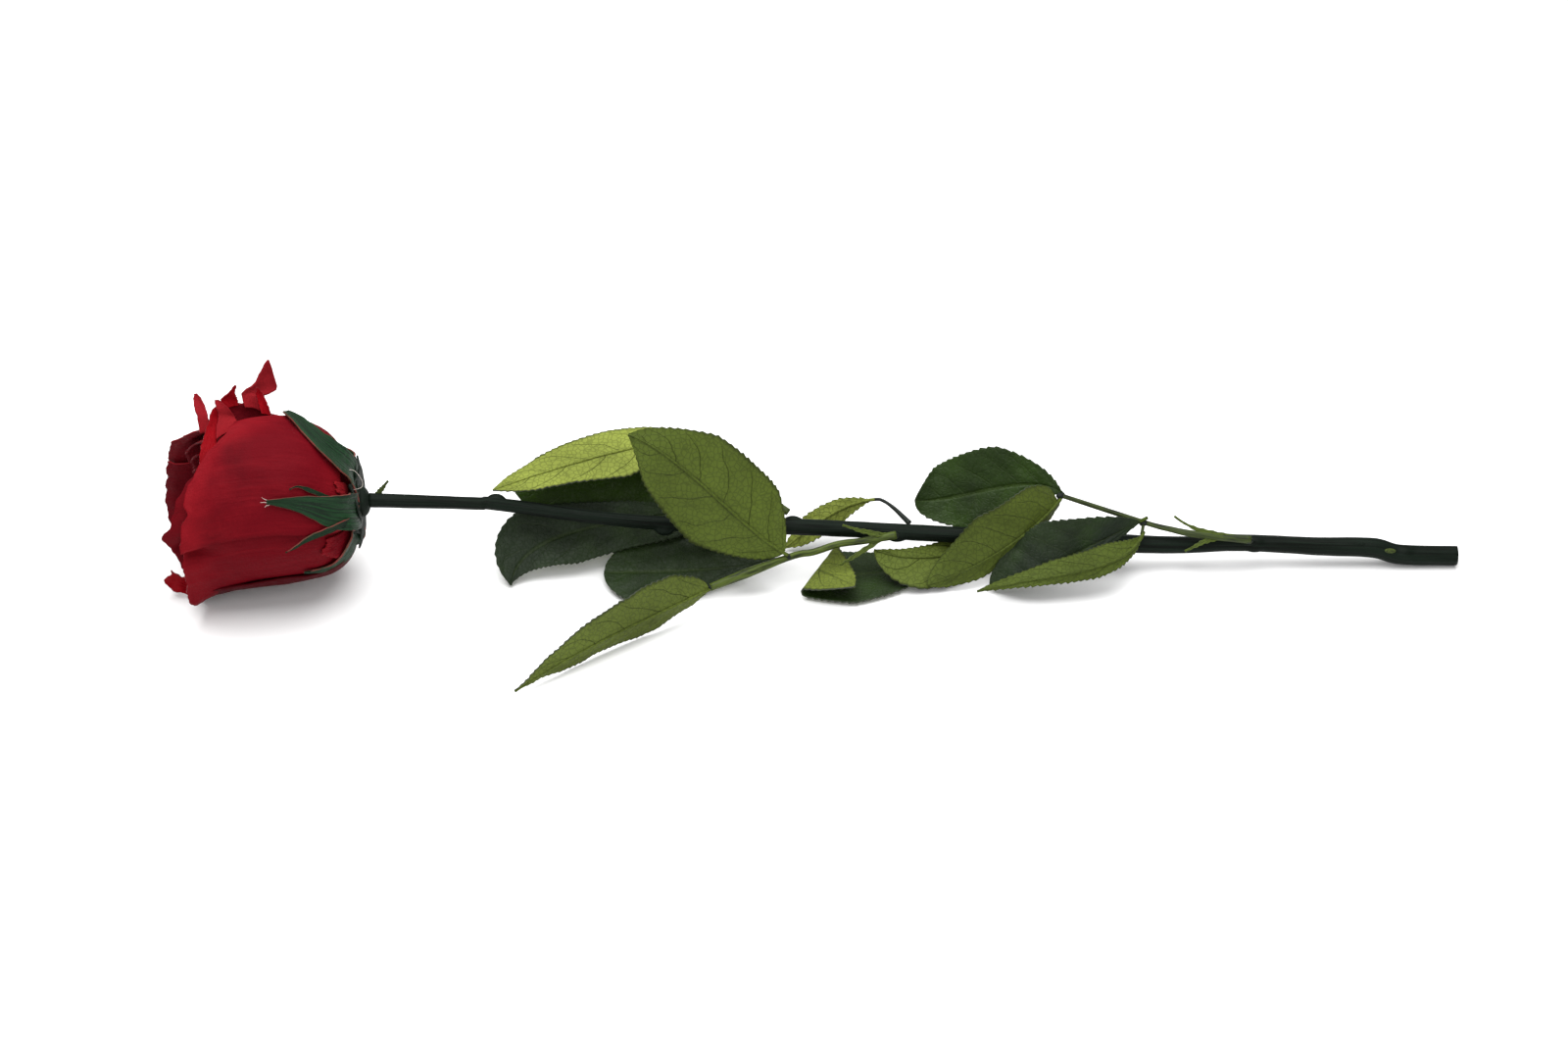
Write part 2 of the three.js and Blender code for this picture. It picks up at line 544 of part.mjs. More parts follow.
place("stem", stemGeometry(), stemGreen);
place("bloom", bloomGeometry(), petalRed);
place("calyx", calyxGeometry(), sepalGreen);
for (const [name, stalk] of Object.entries(STALKS)) place(name, stalkGeometry(stalk), stemGreen);
for (const [name, leaf] of Object.entries(LEAFLETS)) place(name, leafletGeometry(leaf), leafGreen);

export default rose;
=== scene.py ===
"""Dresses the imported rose: finer petals, sepals, leaflets, stalks and stem over the CAD nodes."""
import functools
import math

import bmesh
import bpy
from bpy.props import FloatProperty, FloatVectorProperty, IntProperty, PointerProperty
from mathutils import Matrix, Vector, noise


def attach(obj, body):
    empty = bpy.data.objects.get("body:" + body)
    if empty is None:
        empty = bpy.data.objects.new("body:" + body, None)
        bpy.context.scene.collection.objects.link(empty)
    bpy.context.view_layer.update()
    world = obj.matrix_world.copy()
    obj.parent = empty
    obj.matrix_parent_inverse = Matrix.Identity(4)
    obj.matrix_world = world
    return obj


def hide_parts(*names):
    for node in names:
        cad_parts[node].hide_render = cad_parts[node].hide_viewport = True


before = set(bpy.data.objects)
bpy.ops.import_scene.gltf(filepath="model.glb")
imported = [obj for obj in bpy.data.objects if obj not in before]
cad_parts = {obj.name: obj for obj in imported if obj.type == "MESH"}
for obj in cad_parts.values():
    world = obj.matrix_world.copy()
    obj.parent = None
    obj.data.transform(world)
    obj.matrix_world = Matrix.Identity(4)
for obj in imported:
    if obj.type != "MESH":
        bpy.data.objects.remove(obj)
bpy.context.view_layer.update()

bl_info = {
    "name": "Preserved rose",
    "version": (1, 0, 0),
    "blender": (4, 5, 0),
    "location": "View3D > Sidebar > Rose",
    "description": "Builds the visible pieces of a preserved stemmed rose over its CAD model",
    "category": "Object",
}

# Places below are in millimetres in the rose's own frame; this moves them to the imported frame
SHIFT = Vector((-10.8, 21.9, 0))
MILLIMETRE = 0.001


def placed(point):
    return (point + SHIFT) * MILLIMETRE


def mix(low, high, share):
    return low + (high - low) * share


def clamp(value):
    return min(max(value, 0.0), 1.0)


def smooth(value):
    """Eased share, level at 0 and at 1."""
    value = clamp(value)
    return value * value * (3 - 2 * value)


def of_side(pair, side):
    """The first of a pair on the negative side, and the second on the other."""
    return pair[0 if side < 0 else 1]


def hump(distance, width):
    """1 at no distance, falling softly to 0 over about two widths."""
    return math.exp(-((distance / width) ** 2))


def profile(values, share, eased=True):
    """Value between evenly spaced ones, for a share from 0 to 1: level at each of them or straight."""
    place = clamp(share) * (len(values) - 1)
    first = min(int(place), len(values) - 2)
    rest = place - first
    return mix(values[first], values[first + 1], smooth(rest) if eased else rest)


def wander(point, scale, seed=0.0):
    """Smooth noise of a point in millimetres, about -1 to 1."""
    return noise.noise(Vector(point) / scale + Vector((seed, 2 * seed, 3 * seed)))


# Curves
def curve_through(points):
    """Cubic through four points at equal steps: its place and its direction for t from 0 to 1."""
    a, b, c, d = [Vector(p) for p in points]
    first = (-5 * a + 18 * b - 9 * c + 2 * d) / 6
    second = (2 * a - 9 * b + 18 * c - 5 * d) / 6

    def at(t):
        r = 1 - t
        return r * r * r * a + 3 * r * r * t * first + 3 * r * t * t * second + t * t * t * d

    def along(t):
        r = 1 - t
        slope = r * r * (first - a) + 2 * r * t * (second - first) + t * t * (d - second)
        return slope.normalized()

    return at, along


def smooth_curve(points):
    """Curve through all its points, with an equal share of t for each stretch."""
    inner = [Vector(p) for p in points]
    knots = [2 * inner[0] - inner[1], *inner, 2 * inner[-1] - inner[-2]]
    spans = len(inner) - 1

    def at(t):
        place = clamp(t) * spans
        i = min(int(place), spans - 1)
        w = place - i
        a, b, c, d = knots[i : i + 4]
        start = (c - a) / 2
        end = (d - b) / 2
        bend = 3 * (c - b) - 2 * start - end
        turn = 2 * (b - c) + start + end
        return b + start * w + bend * w * w + turn * w * w * w

    return at


def by_length(curve, samples=400):
    """The same curve, with t shared out by length."""
    points = [curve(i / samples) for i in range(samples + 1)]
    lengths = [0.0]
    for before, after in zip(points, points[1:]):
        lengths.append(lengths[-1] + (after - before).length)

    def at(t):
        goal = t * lengths[-1]
        low, high = 0, samples
        while high - low > 1:
            middle = (low + high) // 2
            if lengths[middle] > goal:
                high = middle
            else:
                low = middle
        share = (goal - lengths[low]) / max(lengths[high] - lengths[low], 1e-9)
        return points[low].lerp(points[high], share)

    return at


# Shapes: each is a closed bmesh with a UV map "surface" and a tone for its points
# Points closer than this, in metres, become one where a shape meets itself
SEAM = 1e-7


def open_grid(columns, rows, point_at):
    """Grid of faces round point_at(u, v), with u across and v along it, both from 0 to 1."""
    shape = bmesh.new()
    surface = shape.loops.layers.uv.new("surface")
    shape.verts.layers.float.new("tone")
    made = bmesh.ops.create_grid(shape, x_segments=columns, y_segments=rows, size=0.5)
    spots = {vert: (vert.co.x + 0.5, vert.co.y + 0.5) for vert in made["verts"]}
    for face in shape.faces:
        for loop in face.loops:
            loop[surface].uv = spots[loop.vert]
    for vert, (u, v) in spots.items():
        vert.co = placed(point_at(u, v))
    shape.normal_update()
    return shape


def set_tone(shape, tone):
    """Writes the tone that a material reads, in place of a colour, to each point."""
    layer = shape.verts.layers.float["tone"]
    for vert in shape.verts:
        vert[layer] = tone


def sheet(columns, rows, point_at, thickness, tone=0.5, finishes=(0, 1, 2)):
    """Thin blade round point_at(u, v), with a finish for its upper face, its under face and its rim."""
    shape = open_grid(columns, rows, point_at)
    outward = shape.verts.layers.float_vector.new("outward")
    for vert in shape.verts:
        vert[outward] = vert.normal
        vert.co -= vert.normal * thickness * MILLIMETRE / 2
    under = list(shape.faces)
    made = bmesh.ops.extrude_face_region(shape, geom=under, use_keep_orig=True)
    upper = {part for part in made["geom"] if isinstance(part, bmesh.types.BMFace)}
    for part in made["geom"]:
        if isinstance(part, bmesh.types.BMVert):
            part.co += part[outward] * thickness * MILLIMETRE
    bmesh.ops.recalc_face_normals(shape, faces=shape.faces)
    under = set(under)
    for face in shape.faces:
        face.material_index = finishes[0 if face in upper else 1 if face in under else 2]
    shape.verts.layers.float_vector.remove(shape.verts.layers.float_vector["outward"])
    set_tone(shape, tone)
    return shape


def rod(curve, radius_at, sides, steps, tone=0.5, finishes=(0, 0), bump_at=None):
    """Round rod along a curve, closed at both ends; bump_at(centre, outward, radius) changes its radius."""
    centres = [curve(i / steps) for i in range(steps + 1)]
    ahead = [centres[min(i + 1, steps)] - centres[max(i - 1, 0)] for i in range(steps + 1)]
    side = ahead[0].orthogonal().normalized()
    frames = []
    for direction in ahead:
        direction = direction.normalized()
        side = (side - direction * side.dot(direction)).normalized()
        frames.append((side, direction.cross(side)))

    def point(u, v):
        i = round(v * steps)
        turn = 2 * math.pi * u
        across, other = frames[i]
        outward = across * math.cos(turn) + other * math.sin(turn)
        radius = radius_at(v)
        if bump_at:
            radius = bump_at(centres[i], outward, radius)
        return centres[i] + outward * radius

    shape = open_grid(sides, steps, point)
    bmesh.ops.remove_doubles(shape, verts=shape.verts, dist=SEAM)
    rim = [edge for edge in shape.edges if edge.is_boundary]
    walls = set(shape.faces)
    bmesh.ops.holes_fill(shape, edges=rim, sides=0)
    for face in shape.faces:
        face.material_index = finishes[0 if face in walls else 1]
    bmesh.ops.recalc_face_normals(shape, faces=shape.faces)
    set_tone(shape, tone)
    return shape


def ball(centre, sizes, tone=0.5, finish=0, detail=24, turn=None):
    """Ellipsoid with three half sizes, turned by a matrix if there is one."""
    shape = bmesh.new()
    shape.loops.layers.uv.new("surface")
    shape.verts.layers.float.new("tone")
    bmesh.ops.create_uvsphere(shape, u_segments=detail, v_segments=detail // 2, radius=1, calc_uvs=True)
    for vert in shape.verts:
        local = Vector((vert.co.x * sizes[0], vert.co.y * sizes[1], vert.co.z * sizes[2]))
        vert.co = placed(Vector(centre) + (turn @ local if turn else local))
    for face in shape.faces:
        face.material_index = finish
    set_tone(shape, tone)
    return shape


def piece(name, shapes, node, materials):
    """Joins closed shapes in one object, which stands for its CAD node."""
    whole = bmesh.new()
    for shape in shapes:
        part = bpy.data.meshes.new("part")
        shape.to_mesh(part)
        shape.free()
        whole.from_mesh(part)
        bpy.data.meshes.remove(part)
    for face in whole.faces:
        face.smooth = True
    mesh = bpy.data.meshes.new(name)
    whole.to_mesh(mesh)
    whole.free()
    for material in materials:
        mesh.materials.append(material)
    made = bpy.data.objects.new(name, mesh)
    bpy.context.scene.collection.objects.link(made)
    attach(made, "root")
    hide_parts(node)
    return made


# Shader helpers
def colour(code):
    """Linear colour from a hex one, as a user of a paint chart would write it."""
    parts = [int(code[i : i + 2], 16) / 255 for i in (0, 2, 4)]
    return tuple(part / 12.92 if part <= 0.04045 else ((part + 0.055) / 1.055) ** 2.4 for part in parts)


def feed(tree, socket, value):
    """Links a node's output to a socket, or sets the socket's value."""
    if isinstance(value, bpy.types.NodeSocket):
        tree.links.new(value, socket)
    else:
        socket.default_value = value


def add(tree, kind, inputs=None, **settings):
    """New node with these settings and inputs."""
    made = tree.nodes.new(kind)
    for key, value in settings.items():
        setattr(made, key, value)
    for key, value in (inputs or {}).items():
        feed(tree, made.inputs[key], value)
    return made


def maths(tree, operation, *values, limit=False):
    """Result of one sum of values and sockets, kept from 0 to 1 if there is a limit."""
    inputs = dict(enumerate(values))
    return add(tree, "ShaderNodeMath", inputs, operation=operation, use_clamp=limit).outputs[0]


def times(tree, first, second):
    return maths(tree, "MULTIPLY", first, second)


def times_plus(tree, first, second, third):
    """The product of two values, plus a third."""
    return maths(tree, "MULTIPLY_ADD", first, second, third)


def ramp(tree, value, low, high, start=0.0, end=1.0):
    """Soft step of a value between low and high."""
    inputs = {"Value": value, "From Min": low, "From Max": high, "To Min": start, "To Max": end}
    made = add(tree, "ShaderNodeMapRange", inputs, interpolation_type="SMOOTHSTEP")
    return made.outputs["Result"]


def blend(tree, share, first, second):
    """Mix of two colours, each a socket or three numbers."""
    made = add(tree, "ShaderNodeMix", {0: share}, data_type="RGBA", blend_type="MIX", clamp_factor=True)
    for index, value in ((6, first), (7, second)):
        feed(tree, made.inputs[index], value if isinstance(value, bpy.types.NodeSocket) else (*value, 1))
    return made.outputs[2]


def group(name, inputs, outputs):
    """Empty shader node group with named value sockets, and its inner nodes."""
    tree = bpy.data.node_groups.new(name, "ShaderNodeTree")
    for label, default in inputs.items():
        socket = tree.interface.new_socket(label, in_out="INPUT", socket_type="NodeSocketFloat")
        socket.default_value = default
    for label in outputs:
        tree.interface.new_socket(label, in_out="OUTPUT", socket_type="NodeSocketFloat")
    return tree, tree.nodes.new("NodeGroupInput").outputs, tree.nodes.new("NodeGroupOutput").inputs


def use(tree, name, **values):
    """Outputs of a shared node group with these inputs."""
    inputs = {key.capitalize(): value for key, value in values.items()}
    return add(tree, "ShaderNodeGroup", inputs, node_tree=bpy.data.node_groups[name]).outputs


def mottle(tree, scale, contrast):
    return use(tree, "Mottle", scale=scale, contrast=contrast)["Value"]


def streaky(tree, count, length, contrast):
    return use(tree, "Streaks", count=count, length=length, contrast=contrast)["Value"]


def surface_parts(tree):
    """Place across and place along a blade, from its own UV map."""
    place = add(tree, "ShaderNodeUVMap", uv_map="surface").outputs[0]
    return add(tree, "ShaderNodeSeparateXYZ", {0: place}).outputs


def tone_of(tree):
    return add(tree, "ShaderNodeAttribute", attribute_name="tone").outputs["Fac"]


def spread(tree, value, contrast):
    """A value with its distance from the middle multiplied, kept from 0 to 1."""
    centred = maths(tree, "SUBTRACT", value, 0.5)
    return maths(tree, "MULTIPLY_ADD", centred, contrast, 0.5, limit=True)


def build_groups():
    mottle_group()
    net_group()
    streak_group()
    leaf_group()


def mottle_group():
    """Cloudy light and dark patches."""
    tree, given, result = group("Mottle", {"Scale": 60.0, "Contrast": 1.0}, ["Value"])
    place = add(tree, "ShaderNodeTexCoord").outputs["Object"]
    inputs = {"Vector": place, "Scale": given["Scale"], "Detail": 5.0, "Roughness": 0.6}
    cloud = add(tree, "ShaderNodeTexNoise", inputs).outputs[0]
    tree.links.new(spread(tree, cloud, given["Contrast"]), result["Value"])


def net_group():
    """Mask of a fine net of veins."""
    tree, given, result = group("Vein net", {"Scale": 500.0, "Width": 0.1}, ["Mask"])
    place = add(tree, "ShaderNodeTexCoord").outputs["Object"]
    inputs = {"Vector": place, "Scale": 300.0, "Detail": 2.0}
    shifting = add(tree, "ShaderNodeTexNoise", inputs).outputs[1]
    inputs = {0: shifting, 1: (0.0006,) * 3, 2: place}
    moved = add(tree, "ShaderNodeVectorMath", inputs, operation="MULTIPLY_ADD").outputs[0]
    inputs = {"Vector": moved, "Scale": given["Scale"]}
    cells = add(tree, "ShaderNodeTexVoronoi", inputs, feature="DISTANCE_TO_EDGE").outputs["Distance"]
    mask = maths(tree, "SUBTRACT", 1.0, ramp(tree, cells, 0.0, given["Width"]))
    tree.links.new(mask, result["Mask"])


def streak_group():
    """Fine lengthwise streaks that follow a blade's own UV map."""
    tree, given, result = group("Streaks", {"Count": 60.0, "Length": 3.0, "Contrast": 1.0}, ["Value"])
    parts = surface_parts(tree)
    wide = times(tree, parts[0], given["Count"])
    long = times(tree, parts[1], given["Length"])
    seed = times(tree, tone_of(tree), 40.0)
    spot = add(tree, "ShaderNodeCombineXYZ", {0: wide, 1: long, 2: seed}).outputs[0]
    inputs = {"Vector": spot, "Scale": 1.0, "Detail": 3.0, "Roughness": 0.6}
    lines = add(tree, "ShaderNodeTexNoise", inputs).outputs[0]
    tree.links.new(spread(tree, lines, given["Contrast"]), result["Value"])


# Side veins of a leaflet: pairs along it, how far one runs toward the tip as a share of the length, and
# how much of that run is straight and how much bent
VEIN_PAIRS = 6.5
VEIN_SLOPE = 0.2
VEIN_LEAN = 0.6
VEIN_BEND = 0.5
VEIN_WANDER = 0.6
# Bands from the midrib at 0 to the margin at 1
MIDRIB_EDGE = (0.02, 0.09)
VEIN_FADE = (0.75, 0.98)
MARGIN_EDGE = (0.9, 0.985)


def leaf_group():
    """Midrib, side veins and margin of a leaflet, from its own UV map."""
    tree, given, result = group("Leaf veins", {"Width": 0.1}, ["Midrib", "Veins", "Margin"])
    parts = surface_parts(tree)
    side = maths(tree, "ABSOLUTE", times_plus(tree, parts[0], 2.0, -1.0))
    half = times(tree, maths(tree, "GREATER_THAN", parts[0], 0.5), 0.5)
    spot = add(tree, "ShaderNodeTexCoord").outputs["Object"]
    cloud = add(tree, "ShaderNodeTexNoise", {"Vector": spot, "Scale": 90.0, "Detail": 2.0}).outputs[0]
    bend = times(tree, times(tree, side, side), -VEIN_BEND * VEIN_SLOPE * VEIN_PAIRS)
    slant = times_plus(tree, side, -VEIN_LEAN * VEIN_SLOPE * VEIN_PAIRS, bend)
    count = times_plus(tree, parts[1], VEIN_PAIRS, half)
    wobble = times_plus(tree, cloud, VEIN_WANDER, count)
    turn = maths(tree, "FRACT", maths(tree, "ADD", wobble, slant))
    away = maths(tree, "SUBTRACT", 0.5, maths(tree, "ABSOLUTE", maths(tree, "SUBTRACT", turn, 0.5)))
    veins = maths(tree, "SUBTRACT", 1.0, ramp(tree, away, 0.0, given["Width"]))
    fade = ramp(tree, side, *VEIN_FADE, start=1.0, end=0.0)
    tree.links.new(times(tree, veins, fade), result["Veins"])
    tree.links.new(ramp(tree, side, *MIDRIB_EDGE, start=1.0, end=0.0), result["Midrib"])
    tree.links.new(ramp(tree, side, *MARGIN_EDGE), result["Margin"])


def new_material(name):
    """Empty material, its nodes and the inputs of its shader."""
    material = bpy.data.materials.new(name)
    material.use_nodes = True
    tree = material.node_tree
    tree.nodes.clear()
    shader = tree.nodes.new("ShaderNodeBsdfPrincipled")
    output = tree.nodes.new("ShaderNodeOutputMaterial")
    tree.links.new(shader.outputs[0], output.inputs[0])
    return material, tree, shader.inputs


def coat(tree, sockets, base, roughness, specular=0.5):
    """Gives a shader its colour, its roughness and its specular level."""
    feed(tree, sockets["Base Color"], base)
    feed(tree, sockets["Roughness"], roughness)
    sockets["Specular IOR Level"].default_value = specular


def clouded_material(name, first, second, scale, contrast, roughness, specular=0.5, relief=0.0):
    """Material of two colours in cloudy patches, raised by a relief in metres."""
    material, tree, sockets = new_material(name)
    clouds = mottle(tree, scale, contrast)
    coat(tree, sockets, blend(tree, clouds, first, second), roughness, specular)
    if relief:
        raise_relief(tree, sockets, clouds, relief)
    return material


def raise_relief(tree, sockets, height, distance, strength=1.0):
    """Bump of a height, at a distance in metres."""
    bump = add(tree, "ShaderNodeBump", {"Height": height, "Distance": distance, "Strength": strength})
    tree.links.new(bump.outputs[0], sockets["Normal"])


# Sizes and colours that a user would change
def millimetres(name, description, default, **limits):
    """Length that a user may change, in millimetres."""
    return FloatProperty(name=name, description=f"{description}, in millimetres", default=default, **limits)


def paint(name, description, code):
    """Colour that a user may change, with a hex code for its default."""
    return FloatVectorProperty(name=name, description=description, subtype="COLOR", default=colour(code))


class RoseSizes(bpy.types.PropertyGroup):
    petal_thickness: millimetres("Petal thickness", "Thickness of a petal", 0.6, min=0.3, max=1.2)
    leaf_thickness: millimetres("Leaf thickness", "Thickness of a leaflet", 0.5, min=0.3, max=1.0)
    tooth_depth: millimetres("Tooth depth", "Depth of the teeth of a leaf margin", 0.65, max=3.0)
    vein_relief: millimetres("Vein relief", "How far a leaf swells between its veins", 0.14)
    tooth_spacing: millimetres("Tooth spacing", "Length of leaf margin for each tooth", 2.2, min=1.2)
    petal_rows: IntProperty(
        name="Petal rows", description="Rows of faces along an outer petal", default=56, min=12, max=120
    )


class RoseColours(bpy.types.PropertyGroup):
    petal: paint("Petal", "Outer face of a petal", "5a0610")
    petal_shade: paint("Petal shade", "Dark patches of a petal", "3a040a")
    # Also the colour of the broad patches of painted light on a petal
    petal_base: paint("Petal base", "Pale root and rim of a petal", "88161e")
    petal_pale: paint("Pale petal", "Torn tips and small flaps of petals", "881c22")
    petal_lit: paint("Thin petal", "Thin torn petal that light shines through", "84000a")
    sepal: paint("Sepal", "Face of a sepal", "14371b")
    sepal_shade: paint("Sepal shade", "Dark root and lines of a sepal", "0c1c10")
    leaf_upper: paint("Leaf upper face", "Dark upper face of a leaflet", "1d281a")
    leaf_under: paint("Leaf under face", "Light under face of a leaflet", "435219")
    leaf_vein: paint("Leaf veins", "Vein net and margin on the under face", "232a0c")
    leaf_green: paint("Leaf fresh green", "Greener upper face of some leaflets", "324a0e")
    leaf_pale: paint("Leaf pale face", "Under face of the palest leaflets", "85903c")
    stem: paint("Stem", "Bark of the stem", "111a13")
    stem_shade: paint("Stem shade", "Dark streaks of the stem", "070b07")
    stalk: paint("Stalk", "Leaf stalks and their small blades", "62741c")
    floor: FloatVectorProperty(
        name="Floor", description="Plain pale floor", subtype="COLOR", default=(0.9, 0.9, 0.9)
    )


# Leaflets, as in the CAD: midrib, way across at its root and tip, tone of the upper face, half widths and
# fold angles of both sides, where the outline is widest on each, and how blunt its ends are
LEAFLETS = {
    "leaf_front_terminal": dict(
        midrib=[(-25.6, -28, 9.2), (-47, -45.7, 9.3), (-68, -60.8, 7.1), (-88.4, -74.4, 1.6)],
        across=[(-0.05, 0.73, -0.68), (-0.05, 0.85, -0.5)],
        tone=0.22, half_widths=(12.2, 8.6), folds=(50, -28), wave=0.5, widest=(0.34, 0.4), ends=(0.8, 1.1),
    ),
    "leaf_front_upright": dict(
        midrib=[(0, -16, 15.4), (-15.9, -15, 29.8), (-33.9, -13, 48), (-52.1, -9, 59.2)],
        across=[(-0.62, -0.45, -0.64)],
        tone=0.1, half_widths=(18, 17), folds=(4, 8), wave=0.8, widest=(0.44, 0.5), ends=(0.8, 0.9),
    ),
    "leaf_front_flat": dict(
        midrib=[(0.1, -14.2, 12.6), (-20, -13, 6.8), (-41, -12, 4.6), (-62, -11.5, 3.6)],
        across=[(0, 0.93, 0.36), (0, 0.93, 0.3)],
        tone=0.25, half_widths=(14.5, 15), folds=(9, 4), wave=0.4, widest=(0.74, 0.66), ends=(1, 0.5),
    ),
    "leaf_back_terminal": dict(
        midrib=[(-29, 22, 35.6), (-49, 17, 37), (-75.6, 6.5, 35.6), (-99.5, -2.1, 31.6)],
        across=[(-0.25, -0.85, -0.15)],
        tone=1.0, half_widths=(13, 10.5), folds=(8, 4), wave=0.6, widest=(0.5, 0.45),
    ),
    "leaf_back_upper": dict(
        midrib=[(-22, 12.4, 31), (-46, 22, 28.5), (-70, 19, 27), (-93, 8, 24)],
        across=[(0, 0.9, 0.42)],
        tone=1.0, half_widths=(18.5, 11.5), folds=(-22, 4), wave=0.5, widest=(0.42, 0.5), ends=(0.5, 0.4),
    ),
    "leaf_back_lower": dict(
        midrib=[(-20, 8, 20.5), (-45.5, 5, 16), (-76.7, -1, 12), (-94, -15.5, 1.5)],
        across=[(0, 0.6, 0.7), (-0.6, 0.6, 0.6)],
        tone=0.1, half_widths=(11, 13.6), folds=(8, 6), wave=0.5, widest=(0.56, 0.78), ends=(0.3, 1),
    ),
    "leaf_right_terminal": dict(
        midrib=[(96.6, 6.4, 24.2), (82, 10.5, 25.5), (62.4, 14, 18.7), (45.7, 14, 16.6)],
        across=[(0, 0.5, 0.8)],
        tone=0.6, half_widths=(13, 15), folds=(8, 8), wave=0.8, widest=(0.5, 0.56), ends=(1.25, 0.55),
    ),
    "leaf_right_over": dict(
        midrib=[(94.4, 3.3, 23.3), (83.4, -8, 18.8), (68, -14.3, 10.6), (49.2, -18, 3.4)],
        across=[(0.5, 0.3, -0.75), (0.2, -0.4, -0.5)],
        tone=0.12, half_widths=(14.5, 6.2), folds=(10, 20), wave=0.4, widest=(0.44, 0.5), ends=(0.35, 0.6),
    ),
    "leaf_right_under": dict(
        midrib=[(95.5, 8, 20), (84, 7, 8.4), (58, -5, 6.6), (31, -7.5, 10.6)],
        across=[(0, -0.87, -0.45)],
        tone=0.2, half_widths=(6, 11.4), folds=(0, 0), wave=0.2, widest=(0.6, 0.8), ends=(1.6, 0.8),
    ),
    "leaf_right_dark": dict(
        midrib=[(122.5, -1.7, 18.4), (98, -14, 12.5), (83, -18, 7), (70.5, -17.5, 2.6)],
        across=[(0.5, 0.6, 0.6), (0.2, 0.6, 0.6)],
        tone=0.0, half_widths=(3.5, 14.5), folds=(10, 10), wave=0.3, widest=(0.4, 0.47), ends=(0.8, 0.5),
    ),
    "leaf_right_light": dict(
        midrib=[(123, -4.8, 14.6), (110.2, -18, 12.4), (90, -23, 10.2), (66, -22.5, 4)],
        across=[(0.2, -0.5, -0.7), (0.1, -0.5, -0.6)],
        tone=0.1, half_widths=(7, 3.4), folds=(20, 5), wave=0.3, widest=(0.4, 0.4), ends=(1.2, 0.8),
    ),
    "leaf_small_light": dict(
        midrib=[(30.7, 13, 17.4), (19.6, 12.5, 13.5), (9.5, 9.5, 8), (0.3, 6.5, 1.6)],
        across=[(0.3, -0.6, -0.6)],
        tone=0.8, half_widths=(5, 5), folds=(10, 10), wave=0.2, widest=(0.55, 0.55),
    ),
    "leaf_small_folded": dict(
        midrib=[(54.2, -2.8, 2.4), (32, -9, 1.8), (10, -10, 1.6), (-11, -10, 1.6)],
        across=[(0, 1, 0)],
        tone=0.45, half_widths=(15.5, 14), folds=(0, 0), wave=0, widest=(0.5, 0.5),
        crease=dict(at=(13.5, -10), along=(0.42, 0.907), radius=1.8, angle=168),
    ),
}
# Low corners in a leaflet's outline: their height as a share of its width, how close they come, and how
# they shift with the leaflet's tone and from side to side
OUTLINE_CORNERS = 0.09
CORNER_RATE = 8
CORNER_TONE = 31
CORNER_SIDE = 1.2
# Shift that sets the sunk lines of the shape on the drawn side veins
RELIEF_SHIFT = 0.17
# Teeth: rows of faces in each, where they begin from the midrib, and how long the bare ends are
TOOTH_ROWS = 4
TOOTH_START = 0.8
TOOTH_LOW = 0.35
BARE_ENDS = 1 / 12
LEAF_COLUMNS = 36
LEAST_REACH = 0.4
RIB_RADII = (0.62, 0.22)
RIB_DROP = 0.4
RIB_START = -0.03
# Faces round and along a rod, or across and along a blade
CORE_GRID = (48, 40)
TIP_GRID = (12, 36)
RIB_GRID = (8, 48)
FIBRE_GRID = (5, 24)
STEM_GRID = (32, 420)
STALK_GRID = (12, 60)
BRANCH_GRID = (10, 16)
STIPULE_GRID = (8, 32)


def leaf_frame(leaf, v):
    """Place on the midrib, the way across and the way up from the upper face."""
    centre = leaf["at"](v)
    tangent = leaf["along"](v)
    across = Vector(leaf["across"][0]).lerp(Vector(leaf["across"][-1]), v)
    across = (across - tangent * across.dot(tangent)).normalized()
    return centre, across, across.cross(tangent)


def leaf_outline(leaf, v, side):
    """Half width at a place along one side, as a share of the widest one."""
    skew = math.log(0.5) / math.log(of_side(leaf["widest"], side))
    ends = leaf.get("ends", (0.8, 0.8))
    phase = CORNER_TONE * leaf.get("tone", 0) + (CORNER_SIDE if side < 0 else 0)
    uneven = 1 + OUTLINE_CORNERS * (0.5 - abs(math.sin(CORNER_RATE * v + phase)))
    return uneven * math.sin(math.pi * clamp(v) ** skew) ** mix(ends[0], ends[1], v)


def leaf_relief(side, v):
    """Quilting between the side veins, 1 on a crest and -1 on a vein."""
    turn = v * VEIN_PAIRS + (0.5 if side > 0 else 0) + RELIEF_SHIFT
    turn -= VEIN_PAIRS * VEIN_SLOPE * (VEIN_LEAN * abs(side) + VEIN_BEND * side * side)
    return -math.cos(2 * math.pi * turn)


def leaf_point(leaf, u, v, tooth, relief):
    """Point of a leaflet, with its margin moved out by a tooth and its face swelled by a relief."""
    side = 2 * u - 1
    centre, across, up = leaf_frame(leaf, v)
    outline = leaf_outline(leaf, v, side)
    half_width = of_side(leaf["half_widths"], side)
    reach = abs(side) * max(outline * half_width + tooth, LEAST_REACH)
    angle = math.radians(of_side(leaf["folds"], side))
    wave = leaf["wave"] * outline * side * side * math.sin(2 * math.pi * (2 * v + 0.3 * side))
    swell = relief * leaf_relief(side, v) * outline * math.sin(math.pi * min(abs(side), 1)) ** 0.7
    centre = centre + across * math.copysign(reach * math.cos(angle), side)
    centre = centre + up * (reach * math.sin(angle) + wave + swell)
    return fold_over(centre, leaf["crease"]) if "crease" in leaf else centre


